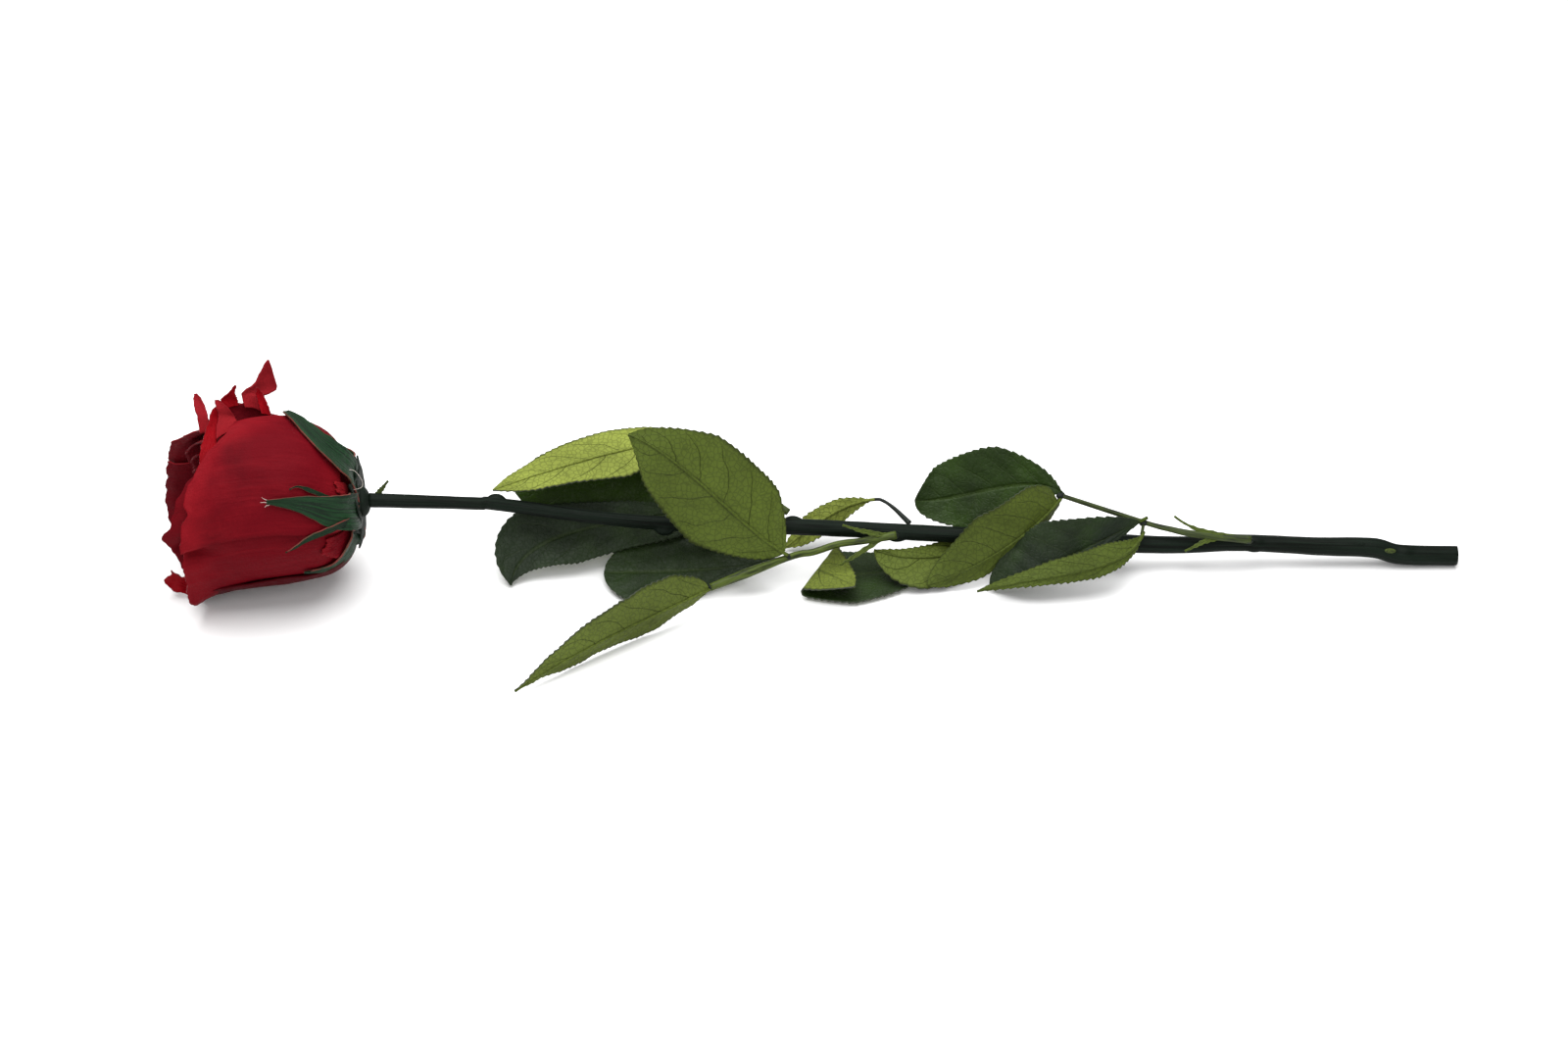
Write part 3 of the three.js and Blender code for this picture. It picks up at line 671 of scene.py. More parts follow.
def fold_over(point, crease):
    """Folds what lies to the left of an upright crease back over the rest, round a small radius."""
    direction = Vector((*crease["along"], 0)).normalized()
    outward = Vector((-direction.y, direction.x, 0))
    past = (point - Vector((*crease["at"], 0))).dot(outward)
    if past <= 0:
        return point
    radius = crease["radius"]
    bend = min(past / radius, math.radians(crease["angle"]))
    rest = past - bend * radius
    away = radius * math.sin(bend) + rest * math.cos(bend)
    rise = radius * (1 - math.cos(bend)) + rest * math.sin(bend)
    return point + outward * (away - past) + Vector((0, 0, rise))


def leaflet_shapes(leaf, sizes):
    """Toothed blade of a leaflet and the rib under it."""
    leaf = dict(leaf)
    tone = leaf["tone"]
    leaf["at"], leaf["along"] = curve_through(leaf["midrib"])
    length = sum((leaf["at"](i / 20) - leaf["at"]((i + 1) / 20)).length for i in range(20))
    rows = round(length / sizes.tooth_spacing) * TOOTH_ROWS

    def point(u, v):
        side = abs(2 * u - 1)
        rise = round(v * rows) % TOOTH_ROWS / (TOOTH_ROWS - 1)
        ends = smooth(v / BARE_ENDS) * smooth((1 - v) / BARE_ENDS)
        uneven = 0.75 + 0.25 * math.sin(37 * v + 9 * u + 20 * tone)
        outer = smooth((side - TOOTH_START) / (1 - TOOTH_START))
        tooth = sizes.tooth_depth * (rise - TOOTH_LOW) * ends * uneven * outer
        spot = leaf_point(leaf, u, v, tooth, sizes.vein_relief)
        if "crease" in leaf:
            return spot
        curl = 0.5 * wander(spot, 9, tone) * side + 0.25 * wander(spot, 4, tone + 3) * side * side
        return spot + leaf_frame(leaf, v)[2] * curl

    blade = sheet(LEAF_COLUMNS, rows, point, sizes.leaf_thickness, tone)

    def rib(share):
        v = mix(RIB_START, 1, share)
        return leaf_point(leaf, 0.5, v, 0, 0) - leaf_frame(leaf, v)[2] * RIB_DROP

    midrib = rod(rib, lambda v: mix(*RIB_RADII, v), *RIB_GRID, tone, finishes=(1, 1))
    return [blade, midrib]


# Bloom: the cup that the outer petals follow, as in the CAD
BLOOM_BASE = Vector((-145.8, -8.8, 31.6))
BLOOM_AXIS = Vector((-0.99, -0.06, -0.07)).normalized()
BLOOM_UP = (Vector((0, 0, 1)) - BLOOM_AXIS * BLOOM_AXIS.z).normalized()
BLOOM_FRONT = -BLOOM_AXIS.cross(BLOOM_UP)
CUP_RADIUS = 27.5
CUP_BULGE = 4.6
CUP_WIDEST = 36
CUP_LENGTH = 58
CUP_CLOSING = 0.1
CUP_SQUARENESS = 3
CUP_TURN = 0.6


def cup(s):
    """Distance from the axis and along it, for s from 0 at the calyx to 1 at the rim."""
    if s < CUP_TURN:
        angle = max(s, 0) / CUP_TURN * math.pi / 2
        power = 2 / CUP_SQUARENESS
        along = CUP_WIDEST * (1 - max(math.cos(angle), 0) ** power)
        return CUP_RADIUS * math.sin(angle) ** power, along
    rest = (s - CUP_TURN) / (1 - CUP_TURN)
    return CUP_RADIUS * (1 - CUP_CLOSING * rest * rest), mix(CUP_WIDEST, CUP_LENGTH, rest)


def bloom_point(along, radius, angle):
    """Point by its distance along and from the axis; the angle goes from straight up to the front."""
    bulge = CUP_BULGE * math.sin(math.pi * clamp(along / CUP_LENGTH))
    upward = BLOOM_UP * (radius * math.cos(angle) + bulge)
    return BLOOM_BASE + BLOOM_AXIS * along + upward + BLOOM_FRONT * (radius * math.sin(angle))


# Petals: angle and half_span in degrees, lift, lean, lip and ripple in millimetres, and the height of the
# rim as a place on the cup. rim gives it at even steps across, or top and rounding do. dents are (side,
# height, width, depth), notches are (side, width, depth), and finishes are those of petal_materials.
OUTER_PETALS = [
    dict(angle=31, half_span=49, lift=2.6, lean=0.6, flare=0.06, neck=1.15, lip=0.8,
         rim=(0.46, 0.585, 0.62, 0.745, 0.815, 0.875, 0.895, 0.94, 0.95), dents=((0.9, 0.9, 0.2, 1.2),),
         notches=((-0.32, 0.06, 0.03), (0.53, 0.05, 0.022), (0.1, 0.04, 0.01))),
    dict(angle=-48, half_span=48, lift=0, lean=-1.2, flare=0.06,
         rim=(1.14, 1.14, 1.13, 1.08, 0.98, 0.87, 0.76, 0.68, 0.6), lip=1.6),
    dict(angle=-125, half_span=50, lift=0, lean=-1.2, flare=0.06,
         rim=(1.03, 1.06, 1.1, 1.15, 1.19, 1.2, 1.19, 1.16, 1.13), lip=1.6),
    # Lowest petal under the bloom: its outer face and rim take the painted shade finish
    dict(angle=173, half_span=45, lift=1.8, lean=0.4, flare=0.05, rounding=(0.1, 0.06), top=0.97,
         finishes=(0, 5, 5)),
    dict(angle=112, half_span=45, lift=0, lean=-1.2, flare=0.1, lip=0.6,
         rim=(0.93, 0.95, 0.955, 0.97, 0.98, 0.99, 0.975, 0.96, 0.93),
         dents=((-0.6, 0.95, 0.15, -5.0), (0.6, 1, 0.34, 3.2))),
    # This petal wears the inner finish, darkened by painted shade, on both faces
    dict(angle=60, half_span=50, lift=0, lean=0.6, flare=0.02, scale=0.94, root=0.4,
         rim=(0.74, 0.81, 0.91, 0.965, 1.01, 1.085, 1.03, 0.98, 0.95), dents=((0.52, 0.85, 0.2, -4.0),),
         finishes=(0, 0, 1)),
    dict(angle=103, half_span=15, lift=1.6, lean=0, flare=0, rounding=(0.05, 0.14), top=0.34, root=0.1,
         finishes=(0, 1, 4)),
    dict(angle=41, half_span=9, lift=4.0, lean=0.3, flare=0, rounding=(0.1, 0.04), top=0.2, root=0.08,
         finishes=(0, 4, 4)),
]
INNER_WHORLS = [
    dict(count=4, scale=0.86, root=0.42, top=1.0, half_span=50, start=130, dip=0.34),
    dict(count=5, scale=0.7, root=0.5, top=0.97, half_span=52, start=20, dip=0.3),
    dict(count=4, scale=0.53, root=0.58, top=0.95, half_span=62, start=45, dip=0.2),
    dict(count=4, scale=0.36, root=0.6, top=0.93, half_span=66, start=80, dip=0.1),
    dict(count=3, scale=0.2, root=0.62, top=0.92, half_span=80, start=10, dip=0.04),
]
# Torn tips that stand up from the rim: points of their left and right edges, root first
# Finish 3 is the painted glow of light shining through a thin tip
TORN_TIPS = [
    dict(
        finish=4,
        left=[(-181, -1, 64.6), (-182.1, 1, 67.2), (-181.6, 2, 69.3), (-177.8, 4, 71.1), (-176.2, 6, 74.1),
              (-173.5, 8, 78.1)],
        right=[(-175.6, -2, 64.1), (-177, 1, 68), (-174.9, 3, 66.9), (-171.2, 6, 67.4), (-171.4, 7, 71.2),
               (-172.8, 8, 77.6)],
    ),
    dict(
        finish=3,
        left=[(-186.7, -2, 64.9), (-188.9, -1, 67.3), (-186.2, 0, 69.8), (-184, 1, 72.2)],
        right=[(-183.2, -1, 65.4), (-183.5, 0, 67.5), (-184.1, 0, 69.8), (-183.5, 1, 72.1)],
    ),
    dict(
        finish=4,
        left=[(-189.2, -14, 60.4), (-189.4, -9, 63), (-189.2, -6, 64.7), (-189.7, -5, 67),
              (-190.5, -3, 69.1)],
        right=[(-184.6, -10, 61.1), (-183, -7, 62.2), (-183.9, -5, 63.3), (-185.9, -4, 66.3),
               (-189, -3, 68.8)],
    ),
    dict(
        finish=3,
        left=[(-193.8, -23, 55.2), (-194.2, -19, 57.5), (-193.8, -14, 59.8), (-193.1, -10, 61.9),
              (-192.2, -7, 63.8), (-191.6, -4, 65.8)],
        right=[(-192.1, -22, 55.3), (-190, -18, 57.8), (-189.2, -14, 58.7), (-189, -10, 60.3),
               (-189.1, -6, 62.4), (-189.7, -3, 66.7)],
    ),
    dict(
        finish=4,
        left=[(-195.9, -7, 58.3), (-196.8, -4, 62.6), (-197.9, -1, 64.4), (-198.7, 2, 65.4),
              (-198.8, 4, 66.7)],
        right=[(-193.3, -7, 58.3), (-193, -4, 61.8), (-194.2, -1, 63.8), (-195.8, 2, 65.8),
               (-197.6, 4, 67.2)],
    ),
    dict(
        finish=3,
        left=[(-175, -4, 64.2), (-176.1, -2, 66.5), (-177, 0, 69.3), (-176.5, 1, 71.7)],
        right=[(-171.8, -4, 63), (-173.2, -2, 66.8), (-174.6, 0, 69.3), (-176.2, 1, 71.5)],
    ),
    dict(
        finish=3,
        left=[(-197, -17, 9), (-204.2, -19.5, 7.5), (-207.3, -20, 9.3), (-210, -20, 8.6), (-212, -19, 6.3)],
        right=[(-196.5, -18, 4), (-203.4, -20.5, 1.2), (-206.5, -21, 2.7), (-208.8, -20, 2),
               (-211.8, -19, 5)],
    ),
    dict(
        finish=3,
        left=[(-199, -16, 3), (-207.6, -17, 1.6), (-209.3, -17, 4.6), (-209.7, -17, 7.1),
              (-209.9, -16, 8.2)],
        right=[(-198.5, -16, 6), (-204, -17, 4), (-207.2, -17, 5.8), (-208.3, -17, 7.5),
               (-209.7, -16, 8.1)],
    ),
    # Dark inner petal behind the rim, in the inner finish darkened by painted shade
    dict(
        finish=0,
        left=[(-188.6, -8, 57), (-183.5, -5, 57.4), (-179.1, -3, 57.7), (-174, -3, 59.2), (-168, -3, 60.4)],
        right=[(-188.2, -1, 65), (-183.3, 0, 65.9), (-178.8, 0, 65.1), (-175.2, -1, 63.4),
               (-169.3, -2, 62.1)],
    ),
]
PETAL_DEFAULTS = dict(
    scale=1, ripple=0.5, root=0.16, neck=0.9, dents=(), notches=(), dip=0, lip=0, finishes=(0, 1, 2),
)
OUTER_COLUMNS = 52
INNER_COLUMNS = 30
# Heights of the broad, fine and finest waves of a rim, as places on the cup
RIM_WAVES = (0.012, 0.004, 0.0025)
# Crumples of a petal, as (height, size, seed), and creases along it, as (height, across, along, seed)
PETAL_CRUMPLES = ((0.6, 14, 7), (0.22, 5, 5))
PETAL_CREASES = ((0.5, 8, 2.5, 9), (0.2, 15, 7, 1))
# Torn tips: uneven edges, bulge as a share of the width, and crumples
TIP_JAG = 0.35
TIP_BULGE = 0.12
TIP_CRUMPLE = 0.3
INNER_PETAL = dict(lift=0, lean=1.1, rounding=(0.06, 0.06), flare=0.04, finishes=(0, 1, 0))
# Lowest height of a petal, places where a rim flares and where its lip turns, and the side of the mouth
# where the inner petals are shorter, in degrees
LOWEST_PETAL = 0.4
RIM_START = 0.75
LIP_START = 0.94
DIP_ANGLE = 25
DIP_WIDTH = 50
# Core: the cup a little smaller up to its widest place, then a dome of these radii up to its top
CORE_SCALE = 0.97
CORE_INSET = 0.3
CORE_DOME = (21, 11, 0)
CORE_TOP = 45
CORE_WALL = 0.75
LOWEST_CORE = 0.5


def petal_point(petal, u, v):
    """Point of a petal on the cup, before it is crumpled."""
    side = 2 * u - 1
    wiggle = RIM_WAVES[0] * math.sin(7 * side + petal["angle"])
    if "rim" in petal:
        top = profile(petal["rim"], u) + 0.5 * wiggle
    else:
        top = petal["top"] - of_side(petal["rounding"], side) * abs(side) ** 2.4 + wiggle
    top += RIM_WAVES[1] * math.sin(23 * side + petal["angle"]) + RIM_WAVES[2] * math.sin(51 * side)
    away = (petal["angle"] + petal["half_span"] * side - DIP_ANGLE + 180) % 360 - 180
    top -= petal["dip"] * hump(away, DIP_WIDTH)
    for spot, width, depth in petal["notches"]:
        top -= depth * hump(side - spot, width)
    s = mix(petal["root"], top, v)
    radius, along = cup(s)
    rim = max(0, (s - RIM_START) / (1 - RIM_START))
    flare = petal["flare"] * rim * rim * CUP_RADIUS
    ripple = petal["ripple"] * rim * math.sin(5 * side + petal["angle"])
    distance = radius * petal["scale"] + petal["lift"] + petal["lean"] * side * min(1, s * 2)
    distance += flare + ripple
    distance += petal["lip"] * smooth((v - LIP_START) / (1 - LIP_START))
    for spot, height, width, depth in petal["dents"]:
        distance += depth * hump(side - spot, width) * hump(v - height, width)
    turn = petal["angle"] + petal["half_span"] * side * mix(petal["neck"], 1, min(1, s / 0.5))
    return bloom_point(along, distance, math.radians(turn))


def petal_shape(petal, columns, rows, thickness, tone):
    """Crumpled petal."""
    petal = {**PETAL_DEFAULTS, **petal}

    def point(u, v):
        spot = petal_point(petal, u, v)
        radial = spot - BLOOM_BASE
        radial = (radial - BLOOM_AXIS * radial.dot(BLOOM_AXIS)).normalized()
        crumple = sum(height * wander(spot, size, tone * seed) for height, size, seed in PETAL_CRUMPLES)
        for height, across, along, seed in PETAL_CREASES:
            crumple += height * noise.noise(Vector((across * u, along * v, seed * tone))) * smooth(v * 2)
        spot = spot + radial * crumple * smooth(v * 3)
        spot.z = max(spot.z, LOWEST_PETAL)
        return spot

    return sheet(columns, rows, point, thickness, tone, petal["finishes"])


def tip_shape(tip, thickness, tone):
    """Torn tip between its left and right edges."""
    left = smooth_curve(tip["left"])
    right = smooth_curve(tip["right"])

    def point(u, v):
        start, end = left(v), right(v)
        width = (end - start).length
        jag = TIP_JAG * wander((v * 40, tone * 50, 0), 3) * (2 * u - 1) * smooth(v * 4)
        spot = start.lerp(end, u) + (end - start).normalized() * jag
        spot.y += TIP_BULGE * width * math.sin(math.pi * u) + TIP_CRUMPLE * wander(spot, 3, tone)
        spot.z = max(spot.z, LOWEST_PETAL)
        return spot

    return sheet(*TIP_GRID, point, thickness, tone, (tip["finish"], tip["finish"], 2))


def core_shape():
    """Closed body under the petals."""
    shape = open_grid(*CORE_GRID, core_point)
    bmesh.ops.remove_doubles(shape, verts=shape.verts, dist=SEAM)
    bmesh.ops.recalc_face_normals(shape, faces=shape.faces)
    for face in shape.faces:
        face.material_index = 1
    set_tone(shape, 0.2)
    return shape


def core_point(u, v):
    """Point of the core, round it by u and from the calyx to its top by v."""
    if v < CORE_WALL:
        radius, along = cup(CUP_TURN * (v / CORE_WALL))
        radius, along = radius * CORE_SCALE, along * CORE_SCALE + CORE_INSET
    else:
        rest = (v - CORE_WALL) / (1 - CORE_WALL)
        radius = profile((CUP_RADIUS * CORE_SCALE, *CORE_DOME), rest)
        along = mix(CUP_WIDEST * CORE_SCALE + CORE_INSET, CORE_TOP, rest)
    spot = bloom_point(along, radius, 2 * math.pi * u)
    spot.z = max(spot.z, LOWEST_CORE)
    return spot


def bloom_shapes(sizes):
    """Core, outer petals, whorls of inner petals and torn tips."""
    thickness = sizes.petal_thickness
    rows = sizes.petal_rows
    shapes = [core_shape()]
    for i, petal in enumerate(OUTER_PETALS):
        shapes.append(petal_shape(petal, OUTER_COLUMNS, rows, thickness, (0.3 + 0.13 * i) % 1))
    for whorl in INNER_WHORLS:
        for i in range(whorl["count"]):
            angle = whorl["start"] + 360 * i / whorl["count"]
            petal = {**INNER_PETAL, **whorl, "angle": angle}
            shapes.append(petal_shape(petal, INNER_COLUMNS, rows // 2, thickness, (0.37 * angle / 50) % 1))
    for i, tip in enumerate(TORN_TIPS):
        shapes.append(tip_shape(tip, thickness, 0.1 + 0.12 * i))
    return shapes


# Calyx: sepals, side lobes and short dark blades, as lines of (place on the cup, angle in degrees)
SEPALS = [
    dict(line=[(0.02, 13), (0.13, 13), (0.25, 12), (0.36, 4), (0.48, -17)], half_width=6.2, clearance=3.9,
         blunt=0.55),
    dict(line=[(0.02, 79), (0.16, 67), (0.29, 64), (0.41, 60), (0.535, 58)], half_width=6.3, clearance=3.7,
         blunt=0.8),
    dict(line=[(0.02, 106), (0.13, 112), (0.24, 122), (0.34, 126), (0.46, 122)], half_width=6,
         clearance=1.2),
    dict(line=[(0.02, 205), (0.15, 205), (0.28, 206), (0.42, 205)], half_width=5.6, clearance=2.2),
    dict(line=[(0.02, 285), (0.14, 284), (0.27, 282), (0.4, 280)], half_width=5.6, clearance=2.2),
    dict(line=[(0.2, 74), (0.31, 78), (0.41, 83), (0.46, 88), (0.5, 92)], half_width=1.1, clearance=3.8),
    dict(line=[(0.22, 58), (0.34, 52), (0.42, 48), (0.46, 50)], half_width=0.8, clearance=4.1),
    dict(line=[(0, 42), (0.06, 42), (0.12, 40), (0.18, 38)], half_width=7.5, clearance=4, dark=True),
    dict(line=[(0, 95), (0.06, 94), (0.11, 95), (0.16, 97)], half_width=7.5, clearance=2, dark=True),
    dict(line=[(0, 150), (0.06, 150), (0.11, 152), (0.16, 155)], half_width=7.5, clearance=2, dark=True),
    dict(line=[(0, -8), (0.05, -10), (0.1, -13), (0.15, -16)], half_width=8, clearance=4.6, dark=True),
    dict(line=[(0, -50), (0.05, -48), (0.1, -46), (0.15, -44)], half_width=8, clearance=4.6, dark=True),
]
# Loose fibres, as lines of (place on the cup, angle in degrees, height over the cup)
FIBRES = [
    [(0.18, 18, 3.6), (0.15, 16, 4.6), (0.11, 20, 5.2), (0.09, 27, 5.2), (0.11, 36, 4.8), (0.14, 40, 3.6)],
    [(0.52, 58, 3.5), (0.53, 57, 3.8), (0.54, 56, 4.0), (0.545, 55, 4.2)],
    [(0.52, 58.5, 3.5), (0.53, 58.5, 3.8), (0.54, 58, 4.0), (0.55, 58, 4.2)],
    [(0.52, 59, 3.5), (0.53, 60, 3.8), (0.535, 60, 4.0), (0.54, 61, 4.2)],
]
# Widths at even steps along a sepal, as shares of the widest one
SEPAL_WIDTHS = (0.8, 0.95, 1, 1, 0.95, 0.83, 0.66, 0.48, 0.32, 0.18, 0.06)
SEPAL_THICKNESS = 0.6
SEPAL_JAG = 0.25
SEPAL_FOLD = 0.12
SEPAL_CRUMPLE = 0.25
SEPAL_ROWS = 48
SEPAL_COLUMNS = 20
LOBE_COLUMNS = 6
LOBE_WIDTH = 2
# Clearance from the cup at the root of a sepal, where the root ends, and how fast its own one is reached
ROOT_CLEARANCE = 1.7
ROOT_END = 0.02
ROOT_RISE = 6
HIP_PLACE = -2.6
HIP_SIZES = (5.2, 5.2, 2.7)
FIBRE_RADII = (0.1, 0.06)


def outside_cup(s, distance, angle):
    """Point at a distance square to the cup, by its place along the cup and its angle in degrees."""
    step = 0.01
    radius_before, along_before = cup(max(s - step, 0))
    radius_after, along_after = cup(s + step)
    length = math.hypot(radius_after - radius_before, along_after - along_before)
    radius, along = cup(s)
    radius += distance * (along_after - along_before) / length
    along -= distance * (radius_after - radius_before) / length
    return bloom_point(along, radius, math.radians(angle))


def sepal_spot(sepal, v, extra=0.0):
    """Point on the centre line of a sepal."""
    s, angle, _ = sepal["at"](v)
    clearance = mix(ROOT_CLEARANCE, sepal["clearance"], min(1, max(s - ROOT_END, 0) * ROOT_RISE))
    return outside_cup(s, clearance + extra, angle)


def sepal_point(sepal, u, v):
    """Point of a sepal, with its uneven margin and its lengthwise fold."""
    side = 2 * u - 1
    point = sepal_spot(sepal, v)
    outward = (sepal_spot(sepal, v, 1) - point).normalized()
    onward = (sepal_spot(sepal, v + 0.01) - sepal_spot(sepal, v - 0.01)).normalized()
    across = outward.cross(onward).normalized()
    width = sepal["half_width"] * profile(SEPAL_WIDTHS, v, eased=False) ** sepal.get("blunt", 1)
    width += SEPAL_JAG * wander(point + across * side * 2, 2.5, side) * abs(side)
    fold = SEPAL_FOLD * width * (abs(side) - 0.5)
    fold += SEPAL_CRUMPLE * wander(point + across * side * width, 5, sepal["half_width"])
    return point - across * side * width + outward * fold


def calyx_shapes():
    """Sepals and dark blades, the hip and the fibres."""
    shapes = []
    for i, sepal in enumerate(SEPALS):
        sepal = dict(sepal, at=smooth_curve([(*spot, 0) for spot in sepal["line"]]))
        columns = SEPAL_COLUMNS if sepal["half_width"] > LOBE_WIDTH else LOBE_COLUMNS
        finishes = (3, 3, 3) if sepal.get("dark") else (0, 1, 2)
        point = functools.partial(sepal_point, sepal)
        shapes.append(sheet(columns, SEPAL_ROWS, point, SEPAL_THICKNESS, 0.2 + 0.1 * i, finishes))
    turn = Matrix((BLOOM_UP, BLOOM_AXIS.cross(BLOOM_UP), BLOOM_AXIS)).transposed()
    shapes.append(ball(bloom_point(HIP_PLACE, 0, 0), HIP_SIZES, tone=0.2, finish=3, detail=32, turn=turn))
    for line in FIBRES:
        curve = smooth_curve([outside_cup(s, lift, angle) for s, angle, lift in line])
        shapes.append(rod(curve, lambda v: mix(*FIBRE_RADII, v), *FIBRE_GRID, finishes=(4, 4)))
    return shapes


# Stem: centre line and radii, as in the CAD
STEM_LINE = [
    (-141, -8.6, 32.2), (-121, -7, 30.4), (-104, -5.4, 28.6), (-97.6, -4.6, 27.8), (-49, -4, 20),
    (7, -1.5, 16), (40, -1.5, 14), (68, -1.5, 12.2), (129, -1.5, 8.6), (158, -0.5, 8.7), (184, -0.5, 7.3),
    (204, -0.5, 6.6), (214, -1, 4.1), (233.5, -1, 3.6),
]
STEM_RADII = (2.5, 2.2, 2.3, 2.3, 2.6, 2.8, 2.8, 2.8, 3.0, 3.2, 2.9, 3.0, 3.5, 3.4)
# Knots as (x, y, z, radius), and scars as (place, half sizes, finish)
STEM_KNOTS = [
    (-98.5, -3.8, 29.2, 2), (-41, -5.4, 17.6, 2), (3, -0.4, 17.4, 2.2), (39, -2.6, 13.4, 2.4),
    (163, -1.2, 8.6, 2.9), (199, -0.2, 8.4, 1.9), (215, -1.4, 4.6, 3.2),
]
STEM_SCARS = [
    ((199, -1.6, 9.1), (4.4, 1.5, 0.8), 0), ((209.5, -3.4, 7.2), (2.2, 0.6, 1.1), 1),
    ((216, -3.2, 3.9), (1.6, 0.7, 2.2), 0), ((160.5, -3, 10.6), (2.6, 1.2, 1.2), 0),
]
# Small blade near the bloom, and a knot's length as a share of its radius
BRACT = [(-139.4, -7.4, 32.6), (-137.6, -6.6, 34.2), (-136, -5.8, 36), (-134.5, -5, 37.7)]
KNOT_LENGTH = 1.6
# Heights of the ridges along the bark and of its uneven wear
STEM_RIDGES = 0.05
STEM_WEAR = 0.08
STIPULE_THICKNESS = 0.5
BRANCH_RADIUS = 0.6
JOINT_SIZES = (1.5, 1.2, 1.2)

# Stalks: centre lines, radii, dark joints, side stalks, and small blades as midribs of four points
STALKS = {
    "leaf_front_stalk": dict(
        tone=0.45,
        line=[(38.5, -6.2, 16), (27, -8, 14.8), (18.5, -10, 14.8), (10, -12.5, 13.3), (1.5, -15.5, 13.2),
              (-25, -27.6, 9.4)],
        radii=(1.5, 1.2, 1.2, 1.2, 1.7, 1.3),
        joints=[(1.2, -15.6, 13.4), (-24.6, -27.4, 9.5), (38, -6.3, 15.9)],
        stipules=[
            [(36, -6.6, 16.2), (30, -7.6, 17.8), (25, -7.8, 19.4), (20, -7.4, 21)],
            [(34, -7, 15.4), (28, -9.8, 12.6), (23, -13, 11), (19.2, -16, 10.3)],
        ],
    ),
    "leaf_back_stalk": dict(
        tone=0.3,
        line=[(1.5, 0.2, 21), (-8, 5, 26), (-21, 11.5, 32.5), (-28.4, 21.5, 35.5)],
        radii=(1.3, 1.0, 0.9, 0.7), joints=[(-21, 11.5, 32.3)],
        branches=[[(-15, 8.4, 29.4), (-17.5, 8.4, 25.5), (-19.6, 8.2, 21.6)]],
    ),
    "leaf_right_stalk": dict(
        tone=0.25,
        line=[(161, -3.6, 12.2), (142, -3.2, 14.2), (133, -1.5, 15.2), (123.9, 0, 17.1), (94.9, 5.7, 24.6)],
        radii=(1.5, 1.3, 0.9, 0.9, 0.8), joints=[(95.4, 5.6, 24.2), (123.9, -0.4, 17), (160.4, -3.8, 12)],
        stipules=[
            [(156, -3.7, 13.2), (148, -3.6, 14.8), (141, -2, 16.2), (134.5, 0, 19.6)],
            [(152, -3.6, 13.2), (146, -4.6, 12.6), (142, -6, 11.4), (138, -7.4, 10)],
        ],
        branches=[[(124, -0.2, 17), (123.6, -2.4, 16), (123.1, -4.3, 14.9)]],
    ),
    "leaf_small_stalk": dict(
        tone=0.0, line=[(43.4, 2, 15.2), (38, 8, 17.5), (34, 12, 18), (31.2, 13, 17.6)],
        radii=(1.0, 0.8, 0.6, 0.6),
    ),
    "leaf_low_stalk": dict(
        tone=0.3, line=[(49, 1.4, 11), (53, 4.2, 7.6), (56, 2.6, 3.4), (55.2, -2.2, 2.6)],
        radii=(1.0, 0.8, 0.7, 0.7),
    ),
}


def stipule_shape(midrib, tone):
    """Small pointed blade that stands on a stalk."""
    at, along = curve_through(midrib)
    blade = dict(
        at=at, along=along, across=[(0, 0.57, 0.82)], half_widths=(0.9, 0.9), folds=(10, 10),
        wave=0, widest=(0.3, 0.3), ends=(0.3, 1),
    )

    def point(u, v):
        return leaf_point(blade, u, v, 0.12 * math.sin(40 * v), 0)

    return sheet(*STIPULE_GRID, point, STIPULE_THICKNESS, tone, (1, 1, 1))


def knot_bump(centre, outward, radius):
    """Radius with the knots and fine lengthwise ridges of the bark added."""
    turn = math.atan2(outward.z, outward.y)
    reach = radius + STEM_RIDGES * math.sin(7 * turn + 0.02 * centre.x)
    reach += STEM_WEAR * wander(centre + outward * 9, 7)
    for x, y, z, size in STEM_KNOTS:
        gap = centre - Vector((x, y, z))
        if abs(gap.x) > KNOT_LENGTH * size + 3:
            continue
        shrink = Vector((1 / (KNOT_LENGTH * size), 1 / size, 1 / size))
        start = gap * shrink
        way = outward * shrink
        middle = start.dot(way)
        inside = middle * middle - way.dot(way) * (start.dot(start) - 1)
        if inside > 0:
            reach = max(reach, (math.sqrt(inside) - middle) / way.dot(way))
    return reach


def stem_shapes():
    """Stem with its knots, the small blade near the bloom and the scars."""
    line = by_length(smooth_curve(STEM_LINE))
    radius_at = functools.partial(profile, STEM_RADII, eased=False)
    stick = rod(line, radius_at, *STEM_GRID, finishes=(0, 2), bump_at=knot_bump)
    scars = [ball(place, sizes, tone=0.4, finish=finish, detail=20) for place, sizes, finish in STEM_SCARS]
    return [stick, stipule_shape(BRACT, 0.3), *scars]


def stalk_shapes(stalk):
    """Stalk with its side stalks, small blades and dark joints."""
    tone = stalk["tone"]
    line = by_length(smooth_curve(stalk["line"]))
    radius_at = functools.partial(profile, stalk["radii"], eased=False)
    shapes = [rod(line, radius_at, *STALK_GRID, tone)]
    for branch in stalk.get("branches", ()):
        shapes.append(rod(smooth_curve(branch), lambda v: BRANCH_RADIUS, *BRANCH_GRID, tone))
    for midrib in stalk.get("stipules", ()):
        shapes.append(stipule_shape(midrib, 0.6))
    for joint in stalk.get("joints", ()):
        shapes.append(ball(joint, JOINT_SIZES, tone=0))
    return shapes


# Materials
# Bands along a petal and a sepal, from the root at 0 to the rim at 1
RIM_BAND = (0.72, 0.97)
ROOT_BAND = (0.0, 0.3)
SEPAL_BAND = (0.0, 0.25)
FIBRE_COLOURS = ((0.4, 0.34, 0.3), (0.66, 0.6, 0.55))


